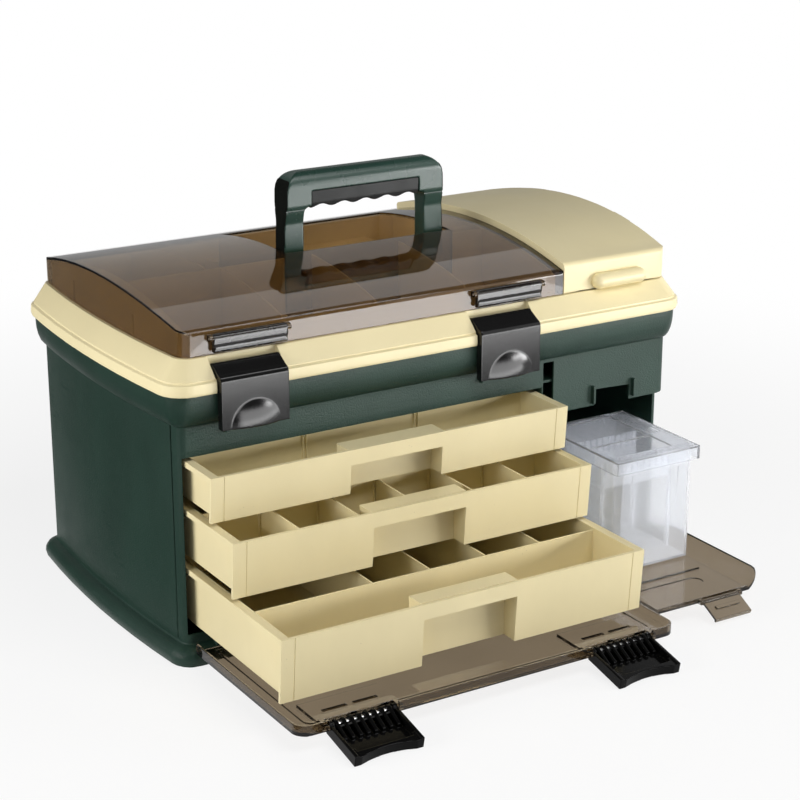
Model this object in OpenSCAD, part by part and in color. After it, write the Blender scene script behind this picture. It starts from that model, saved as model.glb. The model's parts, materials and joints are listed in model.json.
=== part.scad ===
// Three-drawer tackle box: a case with bowed ends, a lid with a compartment tray,
// a see-through cover, fold-down doors and a lift-out hook box, shown open.
// The origin is the centre of the resting face, +X is to the right and +Y to the back.

/* [Case] */
// Width of the case across its corners
case_w = 500; // [470:1:540]
// Depth of the case from front to back
case_d = 285; // [275:1:310]
// Bulge of each end wall at mid depth
case_bow = 7; // [4:0.5:10]
// Corner radius of the case wall
wall_r = 8; // [6:0.5:10]
// Thickness of the case wall
wall = 3; // [2.5:0.1:3.5]
// Height at which the flange springs from the wall
flange_z = 210; // [206:1:216]
// Height of the case rim, where the lid sits
rim_z = 238; // [234:1:244]
// Reach of the flange beyond the wall
flange_out = 9; // [7:0.5:10]
// Height of the rounded foot
foot_h = 17; // [15:0.5:18]
// Reach of the foot beyond the wall
foot_out = 12; // [10:0.5:13]
// Thickness of the bottom plate
base_t = 3; // [2.5:0.1:4]
// Height of the storage floor above the resting face
storage_z = 186; // [184:1:190]

/* [Front openings] */
// Lower edge of the drawer opening
bay_z0 = 25.5; // [24.5:0.5:27]
// Upper edge of the drawer opening
bay_z1 = 183; // [181:0.5:184]
// Width of the post between the two openings
post_w = 18; // [16:0.5:22]
// Width of the hook-box opening
hook_bay_w = 123; // [120:0.5:132]
// Upper edge of the hook-box opening
side_z1 = 156; // [150:1:160]
// Lower edge of the hook-box opening
side_z0 = 19.5; // [18.5:0.5:20]
// How far the right end wall is cut back beside the hook-box opening
corner_cut = 14.5; // [12:0.5:17]

/* [Drawers] */
// Length of a drawer from front to back
drawer_d = 262; // [245:1:266]
// Space beside a drawer front in its opening
drawer_gap = 3; // [2.5:0.1:4]
// Space between two drawer fronts
drawer_space = 3.5; // [2.5:0.1:4]
// Height of the lowest drawer front's lower edge
drawer_z0 = 28.6; // [27.5:0.1:30]
// Height of the bottom drawer
bottom_h = 55.5; // [50:0.5:57]
// Height of the middle drawer
middle_h = 49; // [44:0.5:51]
// Height of the top drawer
top_h = 39.5; // [36:0.5:41]
// How far the bottom drawer stands out
bottom_out = 160; // [120:1:180]
// How far the middle drawer stands out
middle_out = 82; // [60:1:110]
// How far the top drawer stands out
top_out = 45; // [30:1:70]
// Thickness of a drawer front
front_t = 3; // [2.5:0.1:3.5]
// Thickness of the drawer walls and bottom
drawer_wall = 2; // [1.6:0.1:2.6]
// Set-back of a drawer front's lower edge for each unit of height
front_lean = 0.08; // [0.04:0.01:0.1]
// Width of the runner lip along a drawer's side
lip_w = 8; // [7:0.5:10]
// Height of the runner lip
lip_h = 5; // [4:0.5:7]
// Width of the recessed pull
pull_w = 90; // [70:1:110]
// Depth of the recessed pull
pull_d = 20; // [16:0.5:24]
// Height of the lip above the pull
pull_lip = 14; // [11:0.5:17]
// Distance of the lengthwise wall behind the front
rail_d = 62; // [50:1:75]
// Length of the middle drawer's cells
cell_d = 75; // [66:1:80]
// Thickness of a removable divider
divider_t = 1.6; // [1.2:0.1:2]

/* [Lid] */
// Reach of the lid rim beyond the case wall
rim_out = 12.5; // [11:0.5:14]
// Height of the lid deck above the case rim
deck_rise = 26.7; // [24:0.1:30]
// How far the right end of the deck stands further out
side_shift = 8; // [6:0.5:9]
// Set-back of the lid deck's edge from the case wall
deck_in = 5; // [4:0.5:6]
// Height of the bead at the foot of the lid skirt
bead_h = 8.5; // [7:0.5:10]
// Thickness of the lid wall
lid_wall = 2.5; // [2:0.1:3]
// Depth of the tray below the deck
tray_depth = 20.7; // [16:0.1:22]
// Thickness of the tray's walls
tray_wall = 2.2; // [1.8:0.1:2.6]

/* [Covers] */
// Set-back of the covers from the case wall
cover_in = 7; // [6.5:0.1:8]
// Corner radius of the covers
cover_r = 12; // [9:0.5:14]
// Wall of the covers
cover_t = 2; // [1.6:0.1:2.4]
// Height of the smoke cover's shoulder above the deck
shoulder_rise = 21.8; // [20:0.2:24]
// Height of the smoke cover's crest above the deck
crest_rise = 40.6; // [38:0.2:43]
// Corner radius of the side cover
side_r = 8; // [6:0.5:10]
// How much higher the side cover stands
side_rise = 5.6; // [4:0.2:7]
// Distance of the joint between the two covers from the right end
split_in = 114.4; // [110:0.2:120]
// Width of a snap tab
tab_w = 68; // [55:1:75]

/* [Handle] */
// Place of the handle's middle
handle_x = 6; // [2:0.5:8]
// Width of the handle at its feet
handle_w = 166; // [160:1:172]
// Height of the handle's top above the deck
handle_rise = 110; // [104:0.5:114]
// Height of the handle's pivot above the deck
pivot_rise = 19.5; // [18:0.5:21]
// Width of a handle leg
leg_w = 20; // [17:0.5:22]
// Height of the handle's bar
bar_h = 32; // [28:0.5:35]
// Thickness of the handle's bar
bar_t = 24; // [20:0.5:26]
// Thickness of the handle's legs
leg_t = 17; // [14:0.5:18]
// Length of the finger grip
grip_l = 112; // [100:1:114]

/* [Latches] */
// Distance of the left pair of latches from the left end
latch_left = 62; // [58:1:70]
// Distance of the right pair of latches from the drawer opening's right edge
latch_right = 46; // [41:1:53]
// Width of a latch
latch_w = 62; // [56:0.5:64]
// Radius of the half-moon thumb lift on a lid latch
moon_r = 23; // [19:0.5:25]
// Rise of the thumb lift from the latch's plate
moon_rise = 4; // [3:0.2:5]
// Length of a door latch
door_latch_l = 44; // [40:0.5:46]

/* [Doors] */
// Height of the door hinges
door_z = 21.5; // [21:0.1:22]
// Distance of the door hinges before the case front
door_y = 7.5; // [7:0.1:8]
// Thickness of the door panels
door_t = 2.5; // [2:0.1:3]
// Length of the front door below its hinge
front_door_l = 183; // [178:1:188]
// Height of the front door's edge flange
door_edge = 9; // [7.5:0.1:9.5]
// Length of the side door below its hinge
side_door_l = 144; // [138:1:150]
// Distance of the side door's fold from the right end
fold_in = 18; // [14:0.5:19]
// Width of the side door's wing
wing_w = 17; // [14:0.5:18]
// Height of the side door's wing
wing_h = 12; // [9:0.5:14]

/* [Hook box] */
// Distance of the hook box's middle from the right end
hook_in = 63; // [62:0.5:66]
// Width of the hook box at its bottom
hook_w = 84; // [76:0.5:86]
// Length of the hook box at its bottom
hook_l = 106; // [98:0.5:110]
// Height of the hook box without its lid
hook_h = 106; // [98:0.5:110]
// Flare of each side of the hook box
hook_flare = 2.5; // [1.5:0.1:3]
// Wall of the hook box
hook_wall = 1.8; // [1.4:0.1:2.2]
// Height of the hook box's lid
hook_lid_h = 12.5; // [10:0.5:14]
// How far the hook box stands out
hook_out = 70; // [50:1:80]

/* [Pins and fits] */
// Radius of the lid and door hinge pins
pin_r = 1.5; // [1.3:0.05:1.7]
// Radius of the smaller pins
small_pin_r = 1; // [0.9:0.05:1.1]
// Running clearance round a pin
fit = 0.05; // [0.03:0.01:0.08]
// Clearance between pieces that lie against each other
gap = 0.3; // [0.2:0.05:0.4]

/* [Hidden] */
$fn = 48;
eps = 1;
hw = case_w / 2;
hd = case_d / 2;
corner_steps = 5;
bow_steps = 8;
arch_steps = 20;
bulge_steps = 5;
case_colour = "#24392f";
cream = "#ded0a0";
smoke = "#6b6158";
black = "#1c1c1d";
clear = "#dfe6ec";
steel = "#b9bcc0";

// Openings of the case front
bay_x0 = -hw + wall;
side_x0 = hw - hook_bay_w;
bay_x1 = side_x0 - post_w;

// Drawers: lower edge, height and rest place of the front of each
drawer_x0 = bay_x0 + drawer_gap;
drawer_x1 = bay_x1 - drawer_gap;
drawer_w = drawer_x1 - drawer_x0;
drawer_xm = (drawer_x0 + drawer_x1) / 2;
middle_z0 = drawer_z0 + bottom_h + drawer_space;
top_z0 = middle_z0 + middle_h + drawer_space;
guide_t = 2.2;
guide_y0 = -hd + front_t + front_lean * bottom_h + 3;
guide_y1 = hd - wall - 6;
ledge_t = 3;
partition_x = bay_x1;

// Lid and tray
deck_z = rim_z + deck_rise;
rim_r = 24;
tray_in = deck_in + 7;
tray_edge = 4;
tray_y = hd - tray_in - tray_edge;
tray_x = hw - tray_in - tray_edge;
// The lid's back stands upright, so the deck and the covers reach further back than the case
deck_back = rim_out + deck_in - 1;
tray_y1 = tray_y + deck_back;
tray_z = deck_z - tray_depth;
tray_clear = 5;
split_x = hw - split_in;
split_half = 5.8;
shoulder_z = deck_z + shoulder_rise;
crest_z = deck_z + crest_rise;
cover_z0 = deck_z + gap;

// Handle and its well
pivot_z = deck_z + pivot_rise;
pivot_y = 2;
handle_z1 = deck_z + handle_rise;
handle_reach = handle_z1 - pivot_z;
well_x0 = handle_x - handle_w / 2 - 3;
well_x1 = handle_x + handle_w / 2 + 3;
well_y0 = pivot_y - bar_t / 2 - 4;
well_y1 = pivot_y + handle_reach + 20;
well_z = pivot_z - 17;
cheek_t = 4;
grip_h = 14;
grip_waves = 5;

// Hinge lines
lid_hinge_y = hd + rim_out + 5;
lid_lug_r = 4.5;
lid_lug_l = 12;
lid_hinge_xs = [-0.6 * hw, 0.6 * hw];
cover_hinge_y = hd - cover_in + deck_back + 3.3;
cover_hinge_z = deck_z + 3.8;
cover_lug_r = 3;
cover_lug_l = 9;
smoke_hinge_xs = [-hw + 60, split_x - 23.6];
side_hinge_xs = [split_x + 30.4, hw - 28];
side_xm = (split_x + hw) / 2 + 2.2;
door_hinge_y = -hd - door_y;
door_lug_r = 3.8;
door_lug_l = 11;
front_hinge_xs = [bay_x0 + 22, drawer_xm, side_x0 - 35];
side_hinge_pairs = [[side_x0 + 1, 1], [hw - 3, -1]];
side_lug_l = 5;

// Lid latches and snap tabs
latch_x0 = -hw + latch_left;
latch_x1 = bay_x1 - latch_right;
latch_xs = [latch_x0, latch_x1];
latch_notch = latch_w / 2 + 1;
latch_pivot = [-hd, deck_z - 9.7];
latch_z0 = flange_z - 3;
notch_y = -hd + 7;
catch_w = 42;
catch_z = latch_z0 - 5.5;
tab_xs = [latch_x0 + 7, latch_x1 + 11];
tab_pivot = [-hd + cover_in - 3.4, deck_z + 15];

// Doors and their latches
front_x0 = -hw + wall;
front_x1 = side_x0 - 7;
front_y1 = door_hinge_y - front_door_l;
panel_z1 = door_z - 4.5;
panel_z0 = panel_z1 - door_t;
edge_t = 2.2;
door_back_y = -hd - foot_out - 1.5;
door_r = 12;
door_latch_y = front_y1 + 5;
door_latch_z = panel_z1 - 1;
door_latch_tilt = 12;
cheek_l = 4;
rib_count = 8;
fold_x = hw - fold_in;
side_dx0 = side_x0 + 2;
side_y1 = door_hinge_y - side_door_l;
pad_z = side_z0 - 0.9;
hook_x = hw - hook_in;
flap_x = hook_x + 11;
flap_w = 40;
flap_l = 22;
flap_y = side_y1 - 2.5;
flap_z = panel_z1 - 1;
flap_tilt = 28;

// Hook box
hook_z0 = side_z0 + gap;
hook_z1 = hook_z0 + hook_h;
hook_y0 = -hd - hook_out;
hook_y1 = hook_y0 + hook_l;
hook_ym = (hook_y0 + hook_y1) / 2;
hook_top_w = hook_w + 2 * hook_flare;
hook_top_l = hook_l + 2 * hook_flare;
hook_lid_over = 2.2;
hook_skirt = 9;
hook_hinge_y = hook_y1 + hook_flare + hook_lid_over + 2.4;
hook_hinge_z = hook_z1 - 1.2;

// Corner radius of the case outline where it is grown by g
function corner(g) = max(3, wall_r + 1.2 * g);

// Right half of the case outline, grown by g and by b at the back, with corner radius r:
// a straight front, a bowed end
function half_outline(g, r, b) =
    let (xi = hw + g - r, yi = hd + g - r + b / 2, ym = b / 2, slope = 2 * case_bow / yi,
        turn = atan(slope))
    concat(
        [for (i = [0 : corner_steps - 1])
            let (a = -90 + (90 - turn) * i / corner_steps)
            [xi + r * cos(a), ym - yi + r * sin(a)]],
        [for (i = [0 : bow_steps])
            let (t = -1 + 2 * i / bow_steps, m = norm([1, slope * t]))
            [xi + case_bow * (1 - t * t) + r / m, ym + yi * t + r * slope * t / m]],
        [for (i = [1 : corner_steps])
            let (a = turn + (90 - turn) * i / corner_steps)
            [xi + r * cos(a), ym + yi + r * sin(a)]]);

// Whole case outline, counterclockwise
function outline(g, r, b = 0) =
    let (h = half_outline(g, r, b))
    concat(h, [for (i = [len(h) - 1 : -1 : 0]) [-h[i][0], h[i][1]]]);

// Front-to-back arch with rounded shoulders, as points from the front shoulder to the back one
function arch(half, zs, zc, r) =
    let (za = zc - (zc - zs) * pow((half - r) / half, 2),
         front = [for (i = [0 : 4]) let (a = 22.5 * i) [-half + r - r * cos(a), za - r + r * sin(a)]])
    concat(front,
        [for (i = [1 : arch_steps - 1])
            let (y = (-1 + 2 * i / arch_steps) * (half - r))
            [y, zc - (zc - zs) * pow(y / half, 2)]],
        [for (i = [4 : -1 : 0]) [-front[i][0], front[i][1]]]);

// Points of an arc about c from angle a0 to a1
function arc(c, r, a0, a1, n) =
    [for (i = [0 : n]) let (a = a0 + (a1 - a0) * i / n) c + r * [cos(a), sin(a)]];

// A box given by its two corners
module block(x0, x1, y0, y1, z0, z1) {
    translate([x0, y0, z0]) cube([x1 - x0, y1 - y0, z1 - z0]);
}

// A round bar along X
module rod(x0, x1, y, z, r) {
    translate([x0, y, z]) rotate([0, 90, 0]) cylinder(r = r, h = x1 - x0);
}

// A profile drawn in Y and Z, carried along X
module along_x(x0, x1, points) {
    translate([x0, 0, 0]) rotate([90, 0, 90]) linear_extrude(x1 - x0) polygon(points);
}

// A profile drawn in X and Z, carried along Y
module along_y(y0, y1, points) {
    translate([0, y1, 0]) rotate([90, 0, 0]) linear_extrude(y1 - y0) polygon(points);
}

// The case outline, grown by g, as a prism
module plan(g, r, z0, z1, b = 0) {
    translate([0, 0, z0]) linear_extrude(z1 - z0) polygon(outline(g, r, b));
}

// Outline of one section row: growth, height, corner radius, back growth, shift of the right end
function row_points(p) = [for (q = outline(p[0], p[2], p[3])) [q[0] + (q[0] > 0 ? p[4] : 0), q[1], p[1]]];

// A closed ring swept round the case outline, one section row after the other
module ring_loft(rows) {
    n = len(outline(0, wall_r));
    m = len(rows);
    points = [for (p = rows) each row_points(p)];
    faces = [for (i = [0 : m - 1]) for (j = [0 : n - 1])
        let (a = i * n + j, b = i * n + (j + 1) % n,
             c = ((i + 1) % m) * n + (j + 1) % n, d = ((i + 1) % m) * n + j)
        each [[a, d, c], [a, c, b]]];
    polyhedron(points, faces);
}

// Section of the case: foot, wall, flange and rim outside, then down the inside
function case_rows() =
    let (rise = rim_z - 6 - flange_z,
         bulge = [for (i = [1 : bulge_steps])
             let (a = 90 * i / bulge_steps)
             [flange_out * sin(a), flange_z + rise * (1 - cos(a))]],
         inner = [for (i = [bulge_steps : -1 : 0])
             let (a = 90 * i / bulge_steps)
             [flange_out * sin(a) - wall, flange_z + rise * (1 - cos(a)) + wall]],
         rows = concat(
             [[foot_out - 3.2, 1.2], [foot_out - 1, base_t - 0.5], [foot_out, base_t + 3],
              [foot_out - 0.6, foot_h * 0.6], [foot_out - 3.5, foot_h * 0.82],
              [foot_out * 0.35, foot_h * 0.95], [0.6, foot_h], [0, foot_h + 1.5], [0, flange_z]],
             bulge,
             [[flange_out, rim_z], [flange_out - wall, rim_z]],
             inner,
             [[-wall, foot_h], [foot_out * 0.3, foot_h - 3.5], [foot_out - 6, foot_h - 7],
              [foot_out - 7.5, 1.2]]))
    [for (p = rows) [p[0], p[1], corner(p[0]), 0, 0]];

// Two outer ears of a hinge on a carrying wall, with the bore left for the pin
module ears(x, half, length, y, z, r) {
    for (s = [-1, 1]) {
        x0 = x + (s > 0 ? half : -half - length);
        rod(x0, x0 + length, y, z, r);
    }
}

// Catch bar below a lid latch: a bar on two short brackets
module catch_bar(x) {
    block(x - catch_w / 2, x + catch_w / 2, -hd - 5.5, -hd - 2.5, catch_z, catch_z + 3);
    for (s = [-1, 1]) {
        block(x + s * (catch_w / 2 - 1.5) - 1.5, x + s * (catch_w / 2 - 1.5) + 1.5,
              -hd - 5, -hd + 1, catch_z - 1.5, catch_z + 3);
    }
}

module case_shell() color(case_colour) difference() {
    union() {
        plan(foot_out - 2.2, corner(foot_out - 2.2), 0, base_t);
        ring_loft(case_rows());
        for (x = latch_xs) catch_bar(x);
        // Guide ribs of the side door's catch
        for (x = [hook_x - 21.5, hook_x + 24]) block(x - 1.2, x + 1.2, -hd - 5, -hd + 1, side_z1 + 3,
            side_z1 + 20);
        // Floor ribs that carry the hook box
        for (x = [-1, 0, 1]) {
            block(hook_x + x * hook_w / 3 - 1.25, hook_x + x * hook_w / 3 + 1.25,
                  -hd + wall / 2, hd - wall / 2, base_t - eps, side_z0);
        }
        // Ears of the lid hinge
        for (x = lid_hinge_xs) {
            ears(x, 10 + gap, lid_lug_l, lid_hinge_y, rim_z, lid_lug_r);
            for (s = [-1, 1]) {
                xm = x + s * (10 + gap + lid_lug_l / 2);
                block(xm - lid_lug_l / 2, xm + lid_lug_l / 2, hd + flange_out - 2, lid_hinge_y,
                      rim_z - lid_lug_r - 4, rim_z - gap);
            }
        }
        // Ears of the front door's hinge
        for (x = front_hinge_xs) {
            rod(x, x + door_lug_l, door_hinge_y, door_z, door_lug_r);
            block(x, x + door_lug_l, door_hinge_y, -hd + 1, foot_h - 3, door_z);
        }
        // Ears of the side door's hinge
        for (p = side_hinge_pairs) {
            x0 = p[1] > 0 ? p[0] : p[0] - side_lug_l;
            rod(x0, x0 + side_lug_l, door_hinge_y, door_z, door_lug_r);
            block(x0, x0 + side_lug_l, door_hinge_y, -hd + 1, foot_h - 3, door_z - 2);
        }
    }
    // Drawer opening and hook-box opening
    block(bay_x0, bay_x1, -hd - 2, -hd + wall + 6, bay_z0, bay_z1);
    block(side_x0, hw + case_bow + 10, -hd - 2, -hd + corner_cut, side_z0, side_z1);
    // Slot beside the post and window of the side door's catch
    block(bay_x1 + 2, side_x0 - 5, -hd - 2, -hd + wall + 2, side_z1 + 4, flange_z - 4);
    block(hook_x - 18.5, hook_x + 21, -hd - 2, -hd + wall + 2, side_z1 + 4, side_z1 + 15);
    // Vertical grooves that set off the front columns
    for (s = [-1, 1]) {
        translate([s * (hw + 0.3), -hd + 14, (foot_h + flange_z) / 2 + 1])
            cube([2.4, 2.2, flange_z - foot_h - 2], center = true);
    }
    // Bores of the hinge pins
    for (x = lid_hinge_xs) rod(x - 40, x + 40, lid_hinge_y, rim_z, pin_r + fit);
    rod(front_hinge_xs[0] - 2, front_hinge_xs[2] + door_lug_l + 2, door_hinge_y, door_z, pin_r + fit);
    rod(side_x0 - 1, hw + 2, door_hinge_y, door_z, pin_r + fit);
}

module bay_partition() color(case_colour) {
    block(partition_x, partition_x + wall, -hd + wall + gap, hd - wall - gap, base_t,
        storage_z - gap / 2);
    // Foot flange along the bottom
    block(partition_x + wall - 0.01, partition_x + wall + 6, -hd + wall + 20, hd - wall - 20,
        base_t, base_t + 2);
}

module storage_floor() color(case_colour) {
    plan(-wall - gap, corner(-wall - gap), storage_z, storage_z + 2.5);
    // Cross ribs that stiffen the floor
    for (y = [-60, 0, 60]) block(-hw + 30, hw - 30, y - 1, y + 1, storage_z + 2, storage_z + 5);
}

// Drawer guide: an upright plate with a ledge under each drawer's lip; s is the side that the ledges face
module guide(x, s) {
    block(x, x + guide_t, guide_y0, guide_y1, base_t, storage_z - gap / 2);
    reach = drawer_gap + lip_w - drawer_wall - guide_t - 0.8;
    for (z1 = [drawer_z0 + bottom_h, middle_z0 + middle_h, top_z0 + top_h]) {
        z = z1 - lip_h - gap - ledge_t;
        block(s > 0 ? x + guide_t / 2 : x - reach, s > 0 ? x + guide_t + reach : x + guide_t / 2,
              guide_y0, guide_y1, z, z + ledge_t);
        // Stop at the back of the ledge
        block(s > 0 ? x + guide_t / 2 : x - reach, s > 0 ? x + guide_t + reach : x + guide_t / 2,
              guide_y1 - 3, guide_y1, z, z + ledge_t + lip_h);
    }
}

module guide_left() color(case_colour) guide(bay_x0 + 0.2, 1);

module guide_right() color(case_colour) guide(bay_x1 - guide_t - 0.2, -1);

module lid_pins() color(steel) {
    for (x = lid_hinge_xs) rod(x - 10 - gap - lid_lug_l, x + 10 + gap + lid_lug_l, lid_hinge_y,
        rim_z, pin_r);
}

module front_door_pin() color(steel)
    rod(front_hinge_xs[0], front_hinge_xs[2] + door_lug_l, door_hinge_y, door_z, pin_r);

module side_door_pin() color(steel) {
    for (p = side_hinge_pairs) {
        x0 = p[1] > 0 ? p[0] : p[0] - 2 * side_lug_l - gap;
        rod(x0, x0 + 2 * side_lug_l + gap, door_hinge_y, door_z, pin_r);
    }
}

// Outer and inner section of the lid skirt
function lid_rows() = [
    [rim_out, rim_z + gap, rim_r, 0, 0],
    [rim_out + 0.6, rim_z + 3, rim_r, 0, 0],
    [rim_out + 0.2, rim_z + bead_h - 1, rim_r, 0, 0],
    [rim_out - 1.2, rim_z + bead_h, rim_r - 1, 0, 0],
    [-deck_in, deck_z, cover_r + 2, deck_back, side_shift],
    [-tray_in - 1.5, deck_z, cover_r, deck_back, 0],
    [-tray_in - 1.5, deck_z - lid_wall, cover_r, deck_back, 0],
    [-deck_in - 1, deck_z - lid_wall, cover_r + 2, deck_back - 1.6, side_shift],
    [rim_out - lid_wall - 1.6, rim_z + bead_h - 1, rim_r - 2, 0, 0],
    [rim_out - lid_wall - 0.8, rim_z + gap, rim_r - 2, 0, 0]];

// Filled body under the lid's outer surface
module lid_body() {
    rows = [for (i = [0 : 4]) lid_rows()[i]];
    n = len(outline(0, wall_r));
    m = len(rows);
    points = [for (p = rows) each row_points(p)];
    sides = [for (i = [0 : m - 2]) for (j = [0 : n - 1])
        let (a = i * n + j, b = i * n + (j + 1) % n, c = (i + 1) * n + (j + 1) % n, d = (i + 1) * n + j)
        each [[a, d, c], [a, c, b]]];
    caps = [[for (j = [0 : n - 1]) j], [for (j = [n - 1 : -1 : 0]) (m - 1) * n + j]];
    polyhedron(points, concat(sides, caps));
}

// The room under a cover: plan outline and arch, both drawn in by inset
module dome(inset, drop, x0, x1, rise, z0, shift = 0, r = cover_r) {
    intersection() {
        translate([shift, 0, 0])
            plan(-cover_in - inset, max(3, r - inset), z0, crest_z + rise + 10, deck_back);
        translate([0, deck_back / 2, 0]) along_x(x0, x1, concat([[-hd - deck_back, z0]],
            arch(hd - cover_in - inset + deck_back / 2, shoulder_z + rise - drop,
                crest_z + rise - drop, 5),
            [[hd + deck_back, z0]]));
    }
}

// Dividers of the tray as [x0, x1, y0, y1]: lengthwise beside the well, across before and behind it
function tray_spans() =
    let (xr = split_x - 8, pitch = (xr + tray_x) / 4, y0 = well_y0 - tray_wall,
         xm = (well_x0 - tray_wall - tray_x) / 2)
    concat(
        [for (i = [1 : 3]) [-tray_x + i * pitch - tray_wall, -tray_x + i * pitch, -tray_y, y0]],
        [[-tray_x, well_x0 - tray_wall, y0, well_y0],
         [well_x1 + tray_wall, xr, y0, well_y0],
         [xm - tray_wall / 2, xm + tray_wall / 2, well_y0, tray_y1]]);

module lid_tray() color(cream) difference() {
    union() {
        ring_loft(lid_rows());
        // Tray block under both covers
        intersection() {
            plan(-tray_in, cover_r - 2, tray_z, crest_z, deck_back);
            dome(0, tray_clear, -hw, hw, 0, tray_z);
        }
        // Upright ribs on the tray's left end, seen through the cover
        for (y = [-50, 75]) block(-hw - case_bow + tray_in + 0.2, -hw + tray_in + 4, y - 1.6,
            y + 1.6, deck_z - eps, shoulder_z - 4);
        // Seats of the lid latches
        for (x = latch_xs) intersection() {
            lid_body();
            block(x - latch_notch - 4, x + latch_notch + 4, -hd - rim_out - 2, notch_y + 3, rim_z,
                deck_z);
        }
        // Ears of the lid hinge, the covers' hinges
        for (x = lid_hinge_xs) {
            rod(x - 10, x + 10, lid_hinge_y, rim_z, lid_lug_r);
            block(x - 10, x + 10, hd + rim_out - 2, lid_hinge_y, rim_z + gap, rim_z + lid_lug_r);
        }
        for (x = concat(smoke_hinge_xs, side_hinge_xs)) for (s = [-1, 1]) {
            xm = x + s * (cover_lug_l + gap);
            rod(xm - cover_lug_l / 2, xm + cover_lug_l / 2, cover_hinge_y, cover_hinge_z, cover_lug_r);
            block(xm - cover_lug_l / 2, xm + cover_lug_l / 2, cover_hinge_y - 2.4, cover_hinge_y + 2.6,
                  deck_z - 7, cover_hinge_z);
            block(xm - cover_lug_l / 2, xm + cover_lug_l / 2, cover_hinge_y - 7, cover_hinge_y,
                  deck_z - 7, deck_z - 1);
        }
    }
    // Rooms of the tray, with a shelf left behind the handle well
    difference() {
        block(-tray_x, split_x - 8, -tray_y, tray_y1, tray_z + tray_wall, crest_z + eps);
        block(well_x0 - tray_wall, well_x1 + tray_wall, well_y1 + tray_wall + gap, tray_y1 + eps,
            tray_z, deck_z);
    }
    block(split_x + 8, tray_x, -tray_y, tray_y1, tray_z + tray_wall, crest_z + eps);
    // Clear strip between the covers
    block(split_x - split_half, split_x + split_half, -hd, hd + deck_back, deck_z, crest_z + eps);
    // Latch notches
    for (x = latch_xs) {
        block(x - latch_notch, x + latch_notch, -hd - rim_out - 3, notch_y, rim_z - eps, deck_z + eps);
        rod(x - latch_notch - 4 + 0.6, x + latch_notch + 4 - 0.6, latch_pivot[0], latch_pivot[1],
            small_pin_r + fit);
    }
    // Bores of the hinge and handle pins
    for (x = lid_hinge_xs) rod(x - 20, x + 20, lid_hinge_y, rim_z, pin_r + fit);
    for (x = concat(smoke_hinge_xs, side_hinge_xs))
        rod(x - 20, x + 20, cover_hinge_y, cover_hinge_z, small_pin_r + fit);
}

module tray_dividers() color(cream) intersection() {
    union() {
        for (p = tray_spans()) block(p[0] + gap / 2, p[1] - gap / 2, p[2] + gap / 2, p[3] - gap / 2,
            tray_z + tray_wall, crest_z);
    }
    dome(0, tray_clear, -hw, hw, 0, tray_z);
}

// Sunk well under the handle, standing on the tray's floor
module handle_well() color(smoke, 0.8) difference() {
    intersection() {
        block(well_x0 - tray_wall, well_x1 + tray_wall, well_y0 - tray_wall, well_y1 + tray_wall,
            tray_z + tray_wall, crest_z);
        dome(0, cover_t + 2 * gap, -hw, hw, 0, tray_z);
    }
    // Room for the folded handle, with the bearing cheeks left standing in it
    difference() {
        block(well_x0, well_x1, well_y0, well_y1, well_z, crest_z + eps);
        for (s = [-1, 1]) {
            xc = handle_x + s * (handle_w / 2 - leg_w - cheek_t / 2 - 0.5);
            block(xc - cheek_t / 2, xc + cheek_t / 2, pivot_y - 7, pivot_y + 7, well_z - eps,
                pivot_z + 6);
        }
        // Ribs on the floor of the well
        for (x = [-36 : 12 : 36]) block(handle_x + x - 1, handle_x + x + 1, pivot_y + 14,
            well_y1 - 30, well_z - eps, well_z + 2.5);
    }
    // Hollow under the floor of the well
    block(well_x0, well_x1, well_y0, well_y1, tray_z, well_z - tray_wall);
    rod(well_x0 - tray_wall - eps, well_x1 + tray_wall + eps, pivot_y, pivot_z, pin_r + 0.5 + fit);
}

module lid_latch_pins() color(steel) {
    for (x = latch_xs) rod(x - latch_notch - 2.5, x + latch_notch + 2.5, latch_pivot[0],
        latch_pivot[1], small_pin_r);
}

// Pins of one cover's hinges
module cover_pin_set(xs) {
    for (x = xs) rod(x - 1.5 * cover_lug_l - gap, x + 1.5 * cover_lug_l + gap, cover_hinge_y,
        cover_hinge_z, small_pin_r);
}

module cover_pins() color(steel) cover_pin_set(smoke_hinge_xs);

module side_cover_pins() color(steel) cover_pin_set(side_hinge_xs);

module handle_pins() color(steel) {
    for (s = [-1, 1]) {
        x0 = handle_x + s * (handle_w / 2 - leg_w - cheek_t - 0.5);
        x1 = handle_x + s * (handle_w / 2 + 3 + tray_wall);
        rod(min(x0, x1), max(x0, x1), pivot_y, pivot_z, pin_r + 0.5);
    }
}

// Middle knuckle of a cover's hinge
module cover_knuckle(x) {
    rod(x - cover_lug_l / 2, x + cover_lug_l / 2, cover_hinge_y, cover_hinge_z, cover_lug_r);
    block(x - cover_lug_l / 2, x + cover_lug_l / 2, cover_hinge_y - 3.3 - cover_t / 2, cover_hinge_y,
          cover_hinge_z - 1, cover_hinge_z + cover_lug_r);
}

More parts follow.
